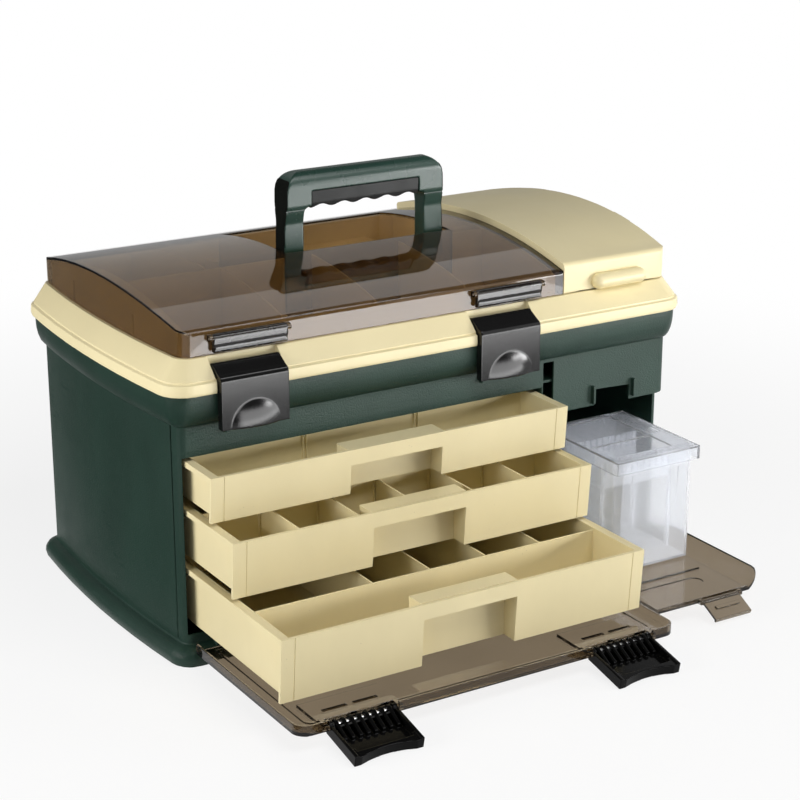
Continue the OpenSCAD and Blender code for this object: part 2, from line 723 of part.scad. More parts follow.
module smoke_cover() color(smoke, 0.7) difference() {
    union() {
        difference() {
            dome(0, 0, -hw - 20, split_x - gap, 0, cover_z0);
            dome(cover_t, cover_t, -hw - 20, split_x - gap - cover_t, 0, cover_z0 - eps);
        }
        for (x = smoke_hinge_xs) cover_knuckle(x);
        // Ears of the snap tabs
        for (x = tab_xs) for (s = [-1, 1]) {
            xm = x + s * (tab_w / 2 + gap + 1.5);
            rod(xm - 1.5, xm + 1.5, tab_pivot[0], tab_pivot[1], 2.6);
            block(xm - 1.5, xm + 1.5, tab_pivot[0], -hd + cover_in + cover_t / 2,
                tab_pivot[1] - 2.6, tab_pivot[1] + 2.6);
        }
    }
    // Cut-out round the handle
    block(well_x0, well_x1, well_y0, well_y1, cover_z0 + 8, crest_z + eps);
    for (x = smoke_hinge_xs) rod(x - 10, x + 10, cover_hinge_y, cover_hinge_z, small_pin_r + fit);
    for (x = tab_xs) rod(x - tab_w / 2 - 5, x + tab_w / 2 + 5, tab_pivot[0], tab_pivot[1],
        small_pin_r + fit);
}

// Snap tab: a rounded bar with a thin hook lip below
module cover_tab(x) {
    y = tab_pivot[0];
    z = tab_pivot[1];
    difference() {
        along_x(x - tab_w / 2, x + tab_w / 2, concat(
            [[y + 2.2, z - 12], [y - 1, z - 12.6], [y - 2.6, z - 11]],
            arc([y, z], 2.9, 180, 20, 8),
            [[y + 2.2, z - 3]]));
        // Finger step along the lower edge
        rod(x - tab_w / 2 - eps, x + tab_w / 2 + eps, y - 3.6, z - 8, 2);
        rod(x - tab_w / 2 - eps, x + tab_w / 2 + eps, y, z, small_pin_r + fit);
    }
}

module cover_tab_left() color(smoke, 0.8) cover_tab(tab_xs[0]);

module cover_tab_right() color(smoke, 0.8) cover_tab(tab_xs[1]);

module cover_tab_pins() color(steel) {
    for (x = tab_xs) rod(x - tab_w / 2 - gap - 3, x + tab_w / 2 + gap + 3, tab_pivot[0],
        tab_pivot[1], small_pin_r);
}

module side_cover() color(cream) difference() {
    union() {
        difference() {
            dome(0, 0, split_x + gap, hw + 20, side_rise, cover_z0, side_shift, side_r);
            dome(cover_t, cover_t, split_x + gap + cover_t, hw + 20, side_rise, cover_z0 - eps,
                side_shift, side_r);
        }
        for (x = side_hinge_xs) cover_knuckle(x);
        // Finger tab on the front
        intersection() {
            block(side_xm - 31, side_xm + 31, -hd - 2, -hd + cover_in + 1, cover_z0 + 0.4,
                cover_z0 + 12);
            along_x(side_xm - 35, side_xm + 35, concat([[-hd + cover_in + 2, cover_z0 + 0.4]],
                arc([-hd + cover_in - 3, cover_z0 + 6], 5, 250, 120, 8), [[-hd + cover_in + 2,
                    cover_z0 + 12]]));
        }
    }
    for (x = side_hinge_xs) rod(x - 10, x + 10, cover_hinge_y, cover_hinge_z, small_pin_r + fit);
}

// Front view of the handle, an arch with rounded shoulders and legs that spread a little
module handle_front() {
    spread = 2;
    r = 18;
    top = handle_w / 2 - spread;
    foot = handle_w / 2;
    inner = foot - leg_w;
    z1 = handle_z1;
    z0 = pivot_z - 9;
    difference() {
        polygon(concat([[-foot, z0], [-foot, pivot_z + 20]],
            arc([-top + r, z1 - r], r, 180, 90, 8), arc([top - r, z1 - r], r, 90, 0, 8),
            [[foot, pivot_z + 20], [foot, z0]]));
        polygon(concat([[-inner, z0 - eps], [-inner, z1 - bar_h - 6]],
            arc([-inner + 5, z1 - bar_h - 5], 5, 180, 90, 4), arc([inner - 5, z1 - bar_h - 5], 5,
                90, 0, 4),
            [[inner, z0 - eps]]));
    }
}

// Side view of the handle: thin legs, a thick round bar
function handle_side() =
    let (c = [pivot_y, handle_z1 - bar_t / 2])
    concat([[pivot_y + leg_t / 2, pivot_z], [pivot_y + leg_t / 2, handle_z1 - bar_h - 14],
            [pivot_y + bar_t / 2, handle_z1 - bar_h + 2]],
        arc(c, bar_t / 2, 0, 180, 12),
        [[pivot_y - bar_t / 2, handle_z1 - bar_h + 2], [pivot_y - leg_t / 2, handle_z1 - bar_h - 14],
         [pivot_y - leg_t / 2, pivot_z]],
        arc([pivot_y, pivot_z], leg_t / 2, 180, 360, 8));

// Room that the finger grip takes in the handle, grown by c
module grip_seat(c) {
    z = handle_z1 - bar_h;
    block(handle_x - grip_l / 2 - c, handle_x + grip_l / 2 + c, pivot_y - bar_t, pivot_y + bar_t,
        z - 6, z + grip_h + c);
}

module handle_arch() color("#2c463c") difference() {
    intersection() {
        translate([handle_x, pivot_y + bar_t, 0]) rotate([90, 0,
            0]) linear_extrude(2 * bar_t) handle_front();
        along_x(handle_x - handle_w, handle_x + handle_w, handle_side());
    }
    grip_seat(0);
    // Parting groove between the bar and the legs
    for (s = [-1, 1]) difference() {
        xm = handle_x + s * (handle_w / 2 - leg_w / 2);
        z = handle_z1 - bar_h - 3;
        block(xm - leg_w, xm + leg_w, pivot_y - bar_t, pivot_y + bar_t, z, z + 1);
        block(xm - leg_w / 2 + 1.6, xm + leg_w / 2 - 2.6, pivot_y - leg_t / 2 - 0.6,
            pivot_y + leg_t / 2 + 0.6, z - eps, z + 2);
    }
    rod(handle_x - handle_w, handle_x + handle_w, pivot_y, pivot_z, pin_r + 0.5 + fit);
}

module handle_grip() color(black) difference() {
    intersection() {
        along_x(handle_x - grip_l / 2 + 0.1, handle_x + grip_l / 2 - 0.1, [
            [pivot_y + bar_t / 2 - 4, handle_z1 - bar_h - 3], [pivot_y + bar_t / 2 - 1.2,
                handle_z1 - bar_h + 3],
            [pivot_y + bar_t / 2 - 1.2, handle_z1 - bar_h + grip_h - 0.1],
            [pivot_y - bar_t / 2 + 1.2, handle_z1 - bar_h + grip_h - 0.1],
            [pivot_y - bar_t / 2 + 1.2, handle_z1 - bar_h + 3], [pivot_y - bar_t / 2 + 4,
                handle_z1 - bar_h - 3]]);
        // Finger waves along the lower edge
        translate([handle_x, pivot_y + bar_t, 0]) rotate([90, 0, 0]) linear_extrude(2 * bar_t)
            polygon(concat([[grip_l / 2, handle_z1], [-grip_l / 2, handle_z1]],
                [for (i = [0 : 40]) let (t = i / 40)
                    [-grip_l / 2 + t * grip_l,
                        handle_z1 - bar_h - 0.6 - 1.6 * cos(360 * grip_waves * t)]]));
    }
}

// Lid latch: a curved plate hung in its notch, with a half-moon thumb lift raised from its foot
module lid_latch(x) {
    y = latch_pivot[0];
    z = latch_pivot[1];
    front = -hd - rim_out - 5.5;
    ball = (moon_r * moon_r + moon_rise * moon_rise) / (2 * moon_rise);
    intersection() {
        translate([x, front + ball - moon_rise, latch_z0]) sphere(r = ball, $fn = 144);
        block(x - moon_r, x + moon_r, front - moon_rise - eps, front + eps, latch_z0, z);
    }
    difference() {
        along_x(x - latch_w / 2, x + latch_w / 2, concat(
            [[front, latch_z0], [front, z - 13], [front + 2.2, z - 6], [y - 9.5, z + 1]],
            arc([y, z], 5.2, 120, -40, 8),
            [[y - 2, z - 6.5], [y - 9, z - 9.5], [front + 6, z - 14], [front + 4.2, z - 20],
             [front + 4.2, latch_z0 + 7], [front + 8, latch_z0 + 3.5], [front + 8, latch_z0]]));
        // Relief behind the plate
        block(x - latch_w / 2 + 4, x + latch_w / 2 - 4, front + 2.6, front + 6, latch_z0 + 8, z - 22);
        rod(x - latch_w, x + latch_w, y, z, small_pin_r + fit);
    }
}

module lid_latch_left() color(black) lid_latch(latch_x0);

module lid_latch_right() color(black) lid_latch(latch_x1);

// Rounded door panel outline in X and Y, with round front corners
function panel_points(x0, x1, y0, y1, r) = concat(
    arc([x0 + r, y0 + r], r, 180, 270, 6), arc([x1 - r, y0 + r], r, 270, 360, 6), [[x1, y1], [x0, y1]]);

// Shallow pan: a panel with an edge flange on its sides and front
module pan(x0, x1, y0, y1, r, height) {
    difference() {
        translate([0, 0, panel_z0]) linear_extrude(height) polygon(panel_points(x0, x1, y0, y1, r));
        translate([0, 0, panel_z1]) linear_extrude(height)
            polygon(panel_points(x0 + edge_t, x1 - edge_t, y0 + edge_t, y1 + eps, r - edge_t));
    }
}

module front_door() color(smoke, 0.7) difference() {
    union() {
        pan(front_x0, front_x1, front_y1, door_back_y, door_r, door_edge);
        // Raised inner border
        difference() {
            translate([0, 0, panel_z1 - eps]) linear_extrude(eps + 1.2)
                polygon(panel_points(front_x0 + 14, front_x1 - 14, front_y1 + 12, door_back_y - 8, 8));
            translate([0, 0, panel_z1]) linear_extrude(eps + 2)
                polygon(panel_points(front_x0 + 17, front_x1 - 17, front_y1 + 15, door_back_y - 11, 6));
        }
        // Raised plates and bearing cheeks at the latches
        for (x = latch_xs) {
            block(x - latch_w / 2 - 6, x + latch_w / 2 + 6, front_y1 + 11, front_y1 + 44,
                panel_z1 - eps, panel_z1 + 2.6);
            for (s = [-1, 1]) {
                xm = x + s * (latch_w / 2 + gap + cheek_l / 2);
                block(xm - cheek_l / 2, xm + cheek_l / 2, front_y1, front_y1 + 12, panel_z0,
                    door_latch_z + 4);
            }
        }
        // Hinge knuckles
        for (x = front_hinge_xs) {
            x0 = x + door_lug_l + gap;
            rod(x0, x0 + door_lug_l, door_hinge_y, door_z, door_lug_r);
            along_x(x0, x0 + door_lug_l, [[door_hinge_y, door_z + 1], [door_hinge_y - door_lug_r, door_z],
                [door_back_y - 4, panel_z1 - 0.5], [door_back_y - 1, panel_z1 - 0.5],
                    [door_hinge_y - 2, door_z - 2]]);
        }
    }
    for (x = latch_xs) {
        // Notch of the latch, two slots behind it and the pin's bore
        block(x - latch_w / 2 - gap, x + latch_w / 2 + gap, front_y1 - eps, front_y1 + 10.5,
            panel_z0 - eps, panel_z1 + 20);
        for (s = [-1, 1]) block(x + s * 14 - 11, x + s * 14 + 11, front_y1 + 22, front_y1 + 26,
            panel_z0 - eps, panel_z1 + 5);
        rod(x - latch_w / 2 - cheek_l - gap - eps, x + latch_w / 2 + cheek_l + gap + eps,
            door_latch_y, door_latch_z, pin_r + fit);
    }
    rod(front_x0 - eps, front_x1 + eps, door_hinge_y, door_z, pin_r + fit);
}

module door_latch_pins() color(steel) {
    for (x = latch_xs) rod(x - latch_w / 2 - gap - cheek_l, x + latch_w / 2 + gap + cheek_l,
        door_latch_y, door_latch_z, pin_r);
}

// Door latch, lying open: a channel with a hollowed free edge and a row of hinge ribs
module door_latch(x) {
    translate([x, door_latch_y, door_latch_z]) rotate([door_latch_tilt, 0, 0]) difference() {
        union() {
            block(-latch_w / 2, latch_w / 2, -door_latch_l, 1, -7, -4.6);
            for (s = [-1, 1]) block(s * (latch_w / 2 - 1.5) - 1.5, s * (latch_w / 2 - 1.5) + 1.5,
                -door_latch_l, 1, -7, 2.5);
            block(-latch_w / 2, latch_w / 2, -door_latch_l, -door_latch_l + 11, -7, 1.5);
            // Hinge ribs
            for (i = [0 : rib_count - 1]) {
                xr = (i - (rib_count - 1) / 2) * (latch_w - 14) / (rib_count - 1);
                along_x(xr - 1.5, xr + 1.5, concat([[-18, -6]], arc([0, 0], 4.2, 280, 460, 8),
                    [[-18, -1]]));
            }
            for (s = [-1, 1]) rod(s * (latch_w / 2 - 2) - 2, s * (latch_w / 2 - 2) + 2, 0, 0, 4.2);
        }
        // Hollowed free edge
        translate([0, -2.73 * door_latch_l, -10]) cylinder(r = 1.82 * door_latch_l, h = 20, $fn = 96);
        // Sloped inside of the free edge
        along_x(-latch_w / 2 + 6, latch_w / 2 - 6, [[-door_latch_l + 5, 4], [-door_latch_l + 11.5,
            4], [-door_latch_l + 11.5, -3.5]]);
        rod(-latch_w, latch_w, 0, 0, pin_r + fit);
    }
}

module door_latch_left() color(black) door_latch(latch_x0);

module door_latch_right() color(black) door_latch(latch_x1);

module side_door() color(smoke, 0.7) difference() {
    union() {
        difference() {
            translate([0, 0, panel_z0]) linear_extrude(door_t)
                polygon([[side_dx0, side_y1], [fold_x, side_y1], [fold_x, door_back_y], [side_dx0,
                    door_back_y]]);
            // Long groove across the panel
            translate([0, 0, panel_z1 - 0.8]) linear_extrude(2) polygon(concat([[side_dx0 + 8,
                side_y1 + 28]],
                arc([fold_x - 32, side_y1 + 36], 8, 270, 450, 8), [[side_dx0 + 8, side_y1 + 44]]));
        }
        // Raised pad under the hook box
        block(side_dx0 + 10, fold_x - 10, side_y1 + 56, door_back_y - 4, panel_z1 - eps, pad_z);
        // Edge flange at the left and the front
        block(side_dx0, side_dx0 + edge_t, side_y1, door_back_y, panel_z0, panel_z1 + 2.2);
        block(side_dx0, fold_x, side_y1, side_y1 + edge_t, panel_z0, panel_z1 + 2.2);
        // Corner wing with a round front end
        intersection() {
            along_y(side_y1, door_back_y - 6, [[fold_x - 2, panel_z0], [fold_x + 1, panel_z0],
                [fold_x + wing_w, panel_z0 + wing_h], [fold_x + wing_w, panel_z1 + wing_h],
                [fold_x, panel_z1], [fold_x - 2, panel_z1]]);
            translate([0, 0, panel_z0 - eps]) linear_extrude(wing_h + 10)
                polygon(concat([[fold_x - 4, side_y1]], arc([fold_x + wing_w - 16, side_y1 + 16],
                    16, 270, 360, 8),
                    [[fold_x + wing_w, door_back_y], [fold_x - 4, door_back_y]]));
        }
        // Cheeks of the latch flap
        for (s = [-1, 1]) {
            xm = flap_x + s * (flap_w / 2 + gap + 1.5);
            block(xm - 1.5, xm + 1.5, flap_y - 2.6, side_y1 + 1, panel_z0, flap_z + 2.6);
        }
        // Hinge knuckles
        for (p = side_hinge_pairs) {
            x0 = p[1] > 0 ? p[0] + side_lug_l + gap : p[0] - 2 * side_lug_l - gap;
            rod(x0, x0 + side_lug_l, door_hinge_y, door_z, door_lug_r);
            along_x(x0, x0 + side_lug_l, [[door_hinge_y, door_z + 1], [door_hinge_y - door_lug_r, door_z],
                [door_back_y - 4, panel_z1 - 0.5], [door_back_y - 1, panel_z1 - 0.5],
                    [door_hinge_y - 2, door_z - 2]]);
        }
        // Strip that carries the right knuckle past the fold
        block(fold_x - 3, hw - 3 - side_lug_l - gap, door_back_y - 5, door_back_y, panel_z0, panel_z1);
    }
    rod(flap_x - flap_w, flap_x + flap_w, flap_y, flap_z, small_pin_r + fit);
    rod(side_dx0 - 10, hw + 2, door_hinge_y, door_z, pin_r + fit);
}

module side_latch_pin() color(steel)
    rod(flap_x - flap_w / 2 - gap - 3, flap_x + flap_w / 2 + gap + 3, flap_y, flap_z, small_pin_r);

module side_door_latch() color(smoke, 0.8)
    translate([flap_x, flap_y, flap_z]) rotate([flap_tilt, 0, 0]) difference() {
        union() {
            block(-flap_w / 2, flap_w / 2, -flap_l, 0, -1, 1.2);
            rod(-flap_w / 2, flap_w / 2, 0, 0, 2.2);
            // Finger rib and end lip
            block(-flap_w / 2 + 7, flap_w / 2 - 7, -12, -8.5, 0, 3);
            block(-flap_w / 2, flap_w / 2, -flap_l, -flap_l + 2, -2.5, 1.2);
        }
        rod(-flap_w, flap_w, 0, 0, small_pin_r + fit);
    }

// Clear depth of a drawer's front room
function front_room(h) = front_lean * h + front_t;

// Paired ribs that hold a divider's edge on a wall facing s along Y
module slot_ribs(x, y, s, z0, z1) {
    for (side = [-1, 1]) {
        xm = x + side * (divider_t / 2 + 0.9);
        block(xm - 0.7, xm + 0.7, min(y, y + s * 1.6), max(y, y + s * 1.6), z0, z1);
    }
}

// Places of the removable dividers across a drawer
function divider_xs(count) =
    let (x0 = drawer_x0 + lip_w, w = drawer_w - 2 * lip_w)
    [for (i = [1 : count]) x0 + w * i / (count + 1)];

// Drawer: leaning front with a recessed pull, runner lips, bottom and walls
module drawer(z0, h, out, room, front_slots, back_slots) {
    y0 = -hd - out;
    y1 = y0 + drawer_d;
    z1 = z0 + h;
    lean = front_lean * h;
    xa = drawer_x0 + lip_w - drawer_wall;
    xb = drawer_x1 - lip_w + drawer_wall;
    floor_z0 = z0 + 3;
    rail_y = y0 + room;
    difference() {
        union() {
            // Leaning front
            along_x(drawer_x0, drawer_x1, [[y0, z1], [y0 + lean, z0], [y0 + lean + front_t, z0],
                [y0 + front_t, z1]]);
            // Bottom, side walls, lengthwise wall and back
            block(xa, xb, y0 + lean + 1, y1, floor_z0, floor_z0 + drawer_wall);
            for (x = [xa, xb - drawer_wall]) block(x, x + drawer_wall, y0 + lean + 1, y1, floor_z0, z1);
            block(xa, xb, y1 - drawer_wall, y1, floor_z0, z1);
            block(xa, xb, rail_y, rail_y + drawer_wall, floor_z0, z1 - 2);
            // Runner lips
            block(drawer_x0, xa + drawer_wall, y0 + front_t, y1, z1 - lip_h, z1 - lip_h + drawer_wall);
            block(xb - drawer_wall, drawer_x1, y0 + front_t, y1, z1 - lip_h, z1 - lip_h + drawer_wall);
            for (x = [drawer_x0, drawer_x1 - drawer_wall]) block(x, x + drawer_wall,
                y0 + front_t - 0.5, y1, z1 - lip_h, z1);
            // Housing of the pull
            block(drawer_xm - pull_w / 2 - drawer_wall, drawer_xm + pull_w / 2 + drawer_wall,
                  y0 + lean, y0 + pull_d + drawer_wall, z0, z1);
            // Slots for the dividers
            for (x = divider_xs(front_slots)) {
                if (abs(x - drawer_xm) > pull_w / 2 + 4) slot_ribs(x, y0 + front_room(h) - 1, 1,
                    floor_z0 + 1, z1 - 3);
                slot_ribs(x, rail_y, -1, floor_z0 + 1, z1 - 3);
            }
            for (x = divider_xs(back_slots)) {
                slot_ribs(x, rail_y + drawer_wall, 1, floor_z0 + 1, z1 - 3);
                slot_ribs(x, y1 - drawer_wall, -1, floor_z0 + 1, z1 - 3);
            }
        }
        // Recess of the pull, open to the front and below
        along_x(drawer_xm - pull_w / 2, drawer_xm + pull_w / 2, [[y0 - 3, z1 - pull_lip], [y0 - 3,
            z0 - eps],
            [y0 + pull_d, z0 - eps], [y0 + pull_d, z1 - drawer_wall],
                [y0 + lean * pull_lip / h + front_t, z1 - drawer_wall],
            [y0 + lean * pull_lip / h + front_t, z1 - pull_lip]]);
    }
}

module drawer_top() color(cream) drawer(top_z0, top_h, top_out, rail_d, 2, 2);

module drawer_middle() color(cream) drawer(middle_z0, middle_h, middle_out, cell_d, 5, 2);

module drawer_bottom() color(cream) drawer(drawer_z0, bottom_h, bottom_out, rail_d, 0, 5);

// Removable dividers of the middle drawer's front room
module middle_dividers() color(cream) {
    y0 = -hd - middle_out;
    z0 = middle_z0 + 3 + drawer_wall + 0.2;
    for (x = divider_xs(5)) {
        near = abs(x - drawer_xm) < pull_w / 2 + 4;
        ya = near ? y0 + pull_d + drawer_wall + 0.4 : y0 + front_room(middle_h) + 0.4;
        block(x - divider_t / 2, x + divider_t / 2, ya, y0 + cell_d - 0.3, z0,
            middle_z0 + middle_h - 2.5);
    }
}

// Removable dividers of the bottom drawer's back room, the left place left free
module bottom_dividers() color(cream) {
    y0 = -hd - bottom_out;
    z0 = drawer_z0 + 3 + drawer_wall + 0.2;
    for (i = [1 : 4]) {
        x = divider_xs(5)[i];
        block(x - divider_t / 2, x + divider_t / 2, y0 + rail_d + drawer_wall + 0.3,
            y0 + drawer_d - drawer_wall - 0.3,
              z0, drawer_z0 + bottom_h - 2.5);
    }
}

// Flared body of the hook box drawn in by inset, from z0 to z1
module hook_form(inset, z0, z1) {
    a = hook_w / 2 - inset;
    b = hook_l / 2 - inset;
    f = hook_flare / hook_h;
    lo = f * (z0 - hook_z0);
    hi = f * (z1 - hook_z0);
    intersection() {
        along_y(hook_ym - b - 10, hook_ym + b + 10,
            [[hook_x - a - lo, z0], [hook_x + a + lo, z0], [hook_x + a + hi, z1], [hook_x - a - hi, z1]]);
        along_x(hook_x - a - 10, hook_x + a + 10,
            [[hook_ym - b - lo, z0], [hook_ym + b + lo, z0], [hook_ym + b + hi, z1],
                [hook_ym - b - hi, z1]]);
        // Chamfered upright corners
        translate([hook_x, hook_ym, z0]) rotate([0, 0, 45])
            cube([(a + b) * 1.38, (a + b) * 1.38, 3 * hook_h], center = true);
    }
}

module hook_box() color(clear, 0.5) difference() {
    union() {
        hook_form(0, hook_z0, hook_z1);
        // Upright ribs on the front and the sides
        for (x = [-26, 26]) translate([hook_x + x, hook_y0, 0])
            along_x(-2, 2, [[1, hook_z0 + 2], [-0.6 - hook_flare, hook_z1 - 14], [1, hook_z1 - 12]]);
        // Ears of the lid's hinge
        for (s = [-1, 1]) {
            xm = hook_x + s * 28;
            rod(xm - 4, xm + 4, hook_hinge_y, hook_hinge_z, 2);
            along_x(xm - 4, xm + 4, [[hook_y1 + hook_flare - 1, hook_hinge_z - 9],
                [hook_hinge_y + 1.6, hook_hinge_z - 1],
                [hook_hinge_y - 1.8, hook_hinge_z + 0.8], [hook_y1 + hook_flare - 1, hook_hinge_z - 3]]);
        }
    }
    hook_form(hook_wall, hook_z0 + hook_wall, hook_z1 + eps);
    rod(hook_x - hook_w / 2, hook_x + hook_w / 2, hook_hinge_y, hook_hinge_z, small_pin_r + fit);
}

// Comb rack: two toothed bars joined by end rails, resting on the hook box's floor on four legs
module hook_rack() color(clear, 0.6) {
    w = hook_w - 2 * hook_wall - 3;
    z1 = hook_z1 - 8;
    z0 = hook_z0 + hook_wall + 0.2;
    teeth = 11;
    for (s = [-1, 1]) {
        ym = hook_ym + s * 26;
        difference() {
            block(hook_x - w / 2, hook_x + w / 2, ym - 1, ym + 1, z1 - 26, z1);
            for (i = [0 : teeth - 1]) {
                x = hook_x + (i - (teeth - 1) / 2) * (w - 8) / (teeth - 1);
                block(x - 0.7, x + 0.7, ym - 2, ym + 2, z1 - 14, z1 + eps);
            }
        }
        for (t = [-1, 1]) block(hook_x + t * (w / 2 - 1.5) - 1.5, hook_x + t * (w / 2 - 1.5) + 1.5,
            ym - 1.5, ym + 1.5, z0, z1 - 20);
    }
    for (t = [-1, 1]) block(hook_x + t * (w / 2 - 1.5) - 1, hook_x + t * (w / 2 - 1.5) + 1,
        hook_ym - 26, hook_ym + 26, z1 - 26, z1 - 21);
}

module hook_lid_pin() color(steel) rod(hook_x - 32, hook_x + 32, hook_hinge_y, hook_hinge_z, small_pin_r);

module hook_lid() color(clear, 0.6) difference() {
    a = hook_top_w / 2 + hook_lid_over;
    b = hook_top_l / 2 + hook_lid_over;
    z1 = hook_z1 + gap + 2;
    union() {
        difference() {
            block(hook_x - a, hook_x + a, hook_ym - b, hook_ym + b, z1 - hook_lid_h, z1);
            block(hook_x - a + hook_lid_over - gap, hook_x + a - hook_lid_over + gap,
                  hook_ym - b + hook_lid_over - gap, hook_ym + b - hook_lid_over + gap,
                      z1 - hook_lid_h - eps, z1 - 2);
            // Sunk window over the rack
            block(hook_x - a + 6, hook_x + a - 22, hook_ym - 8, hook_ym + b - 8, z1 - 0.9, z1 + eps);
            block(hook_x - a + 6, hook_x + a - 22, hook_ym - b + 14, hook_ym - 12, z1 - 0.9, z1 + eps);
            // Open back below the hinge, so that the lid can tip
            block(hook_x - a + hook_lid_over - gap, hook_x + a - hook_lid_over + gap,
                hook_ym + b - hook_lid_over - gap - eps, hook_ym + b + eps, z1 - hook_lid_h - eps,
                hook_hinge_z - 0.5);
            // Room for the hinge ears
            for (s = [-1, 1]) block(hook_x + s * 28 - 4 - gap, hook_x + s * 28 + 4 + gap,
                hook_ym + b - hook_lid_over - 1, hook_ym + b + 1, z1 - hook_lid_h - eps,
                    hook_hinge_z + 2.4);
        }
        // Ribs along the front and the right
        for (i = [0 : 3]) block(hook_x - a + 8, hook_x + a - 6, hook_ym - b + 3 + i * 2.6,
            hook_ym - b + 4.2 + i * 2.6, z1 - 0.5, z1 + 0.7);
        for (i = [0 : 3]) block(hook_x + a - 18 + i * 3.2, hook_x + a - 16.6 + i * 3.2,
            hook_ym - 8, hook_ym + b - 6, z1 - 0.5, z1 + 0.7);
        // Middle knuckle
        rod(hook_x - 20, hook_x + 20, hook_hinge_y, hook_hinge_z, 2);
        block(hook_x - 20, hook_x + 20, hook_ym + b - 1, hook_hinge_y, hook_hinge_z - 0.5,
            hook_hinge_z + 2);
    }
    rod(hook_x - hook_w / 2, hook_x + hook_w / 2, hook_hinge_y, hook_hinge_z, small_pin_r + fit);
}

case_shell();
bay_partition();
storage_floor();
guide_left();
guide_right();
lid_pins();
front_door_pin();
side_door_pin();
lid_tray();
tray_dividers();
handle_well();
lid_latch_pins();
cover_pins();
side_cover_pins();
handle_pins();
smoke_cover();
cover_tab_left();
cover_tab_right();
cover_tab_pins();
side_cover();
handle_arch();
handle_grip();
lid_latch_left();
lid_latch_right();
front_door();
door_latch_pins();
door_latch_left();
door_latch_right();
side_door();
side_latch_pin();
side_door_latch();
drawer_top();
drawer_middle();
drawer_bottom();
middle_dividers();
bottom_dividers();
hook_box();
hook_rack();
hook_lid_pin();
hook_lid();
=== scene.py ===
"""Looks of a portable tackle box in grained green, cream, smoke and clear plastic."""

import json
import logging
import math
from collections.abc import Callable, Sequence
from dataclasses import dataclass
from enum import Enum

import bmesh
import bpy
from mathutils import Matrix, Vector

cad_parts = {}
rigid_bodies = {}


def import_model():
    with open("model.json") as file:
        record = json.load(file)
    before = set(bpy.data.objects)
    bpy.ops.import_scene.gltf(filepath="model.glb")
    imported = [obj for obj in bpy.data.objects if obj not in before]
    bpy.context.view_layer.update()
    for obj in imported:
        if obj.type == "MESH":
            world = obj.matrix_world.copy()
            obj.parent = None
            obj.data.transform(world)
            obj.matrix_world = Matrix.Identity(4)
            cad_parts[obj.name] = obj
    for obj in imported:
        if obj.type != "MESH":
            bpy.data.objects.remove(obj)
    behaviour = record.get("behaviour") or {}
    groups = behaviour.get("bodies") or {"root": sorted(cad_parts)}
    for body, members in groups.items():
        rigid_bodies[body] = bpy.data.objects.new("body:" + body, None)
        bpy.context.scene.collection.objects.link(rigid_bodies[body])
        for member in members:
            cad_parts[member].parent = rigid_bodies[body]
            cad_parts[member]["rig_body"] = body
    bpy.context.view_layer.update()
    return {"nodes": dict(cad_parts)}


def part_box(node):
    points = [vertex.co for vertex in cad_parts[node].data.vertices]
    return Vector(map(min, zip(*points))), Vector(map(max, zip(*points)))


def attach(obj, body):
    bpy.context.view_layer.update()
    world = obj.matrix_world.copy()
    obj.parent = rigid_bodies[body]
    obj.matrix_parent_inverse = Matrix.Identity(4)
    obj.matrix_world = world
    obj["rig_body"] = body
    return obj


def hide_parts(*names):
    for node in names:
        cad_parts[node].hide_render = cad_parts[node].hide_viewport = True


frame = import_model()
LOG = logging.getLogger("tackle_box")
MM = 0.001
MERGE_GAP = 0.00002
FLAT_TURN = 0.2
SMOOTH_TURN = 38.0
ROOM_ALONG, ROOM_BESIDE = 2.2, 1.6
FLOAT_SOCKET = "NodeSocketFloat"
SEEN_RAYS = ("Is Camera Ray", "Is Glossy Ray", "Is Transmission Ray")

Triple = tuple[float, float, float]
Pair = tuple[float, float]


class Edge(Enum):
    """How softly the edges of a moulding are rounded, in millimetres."""

    CRISP = 0.25
    FINE = 0.45
    SOFT = 0.9


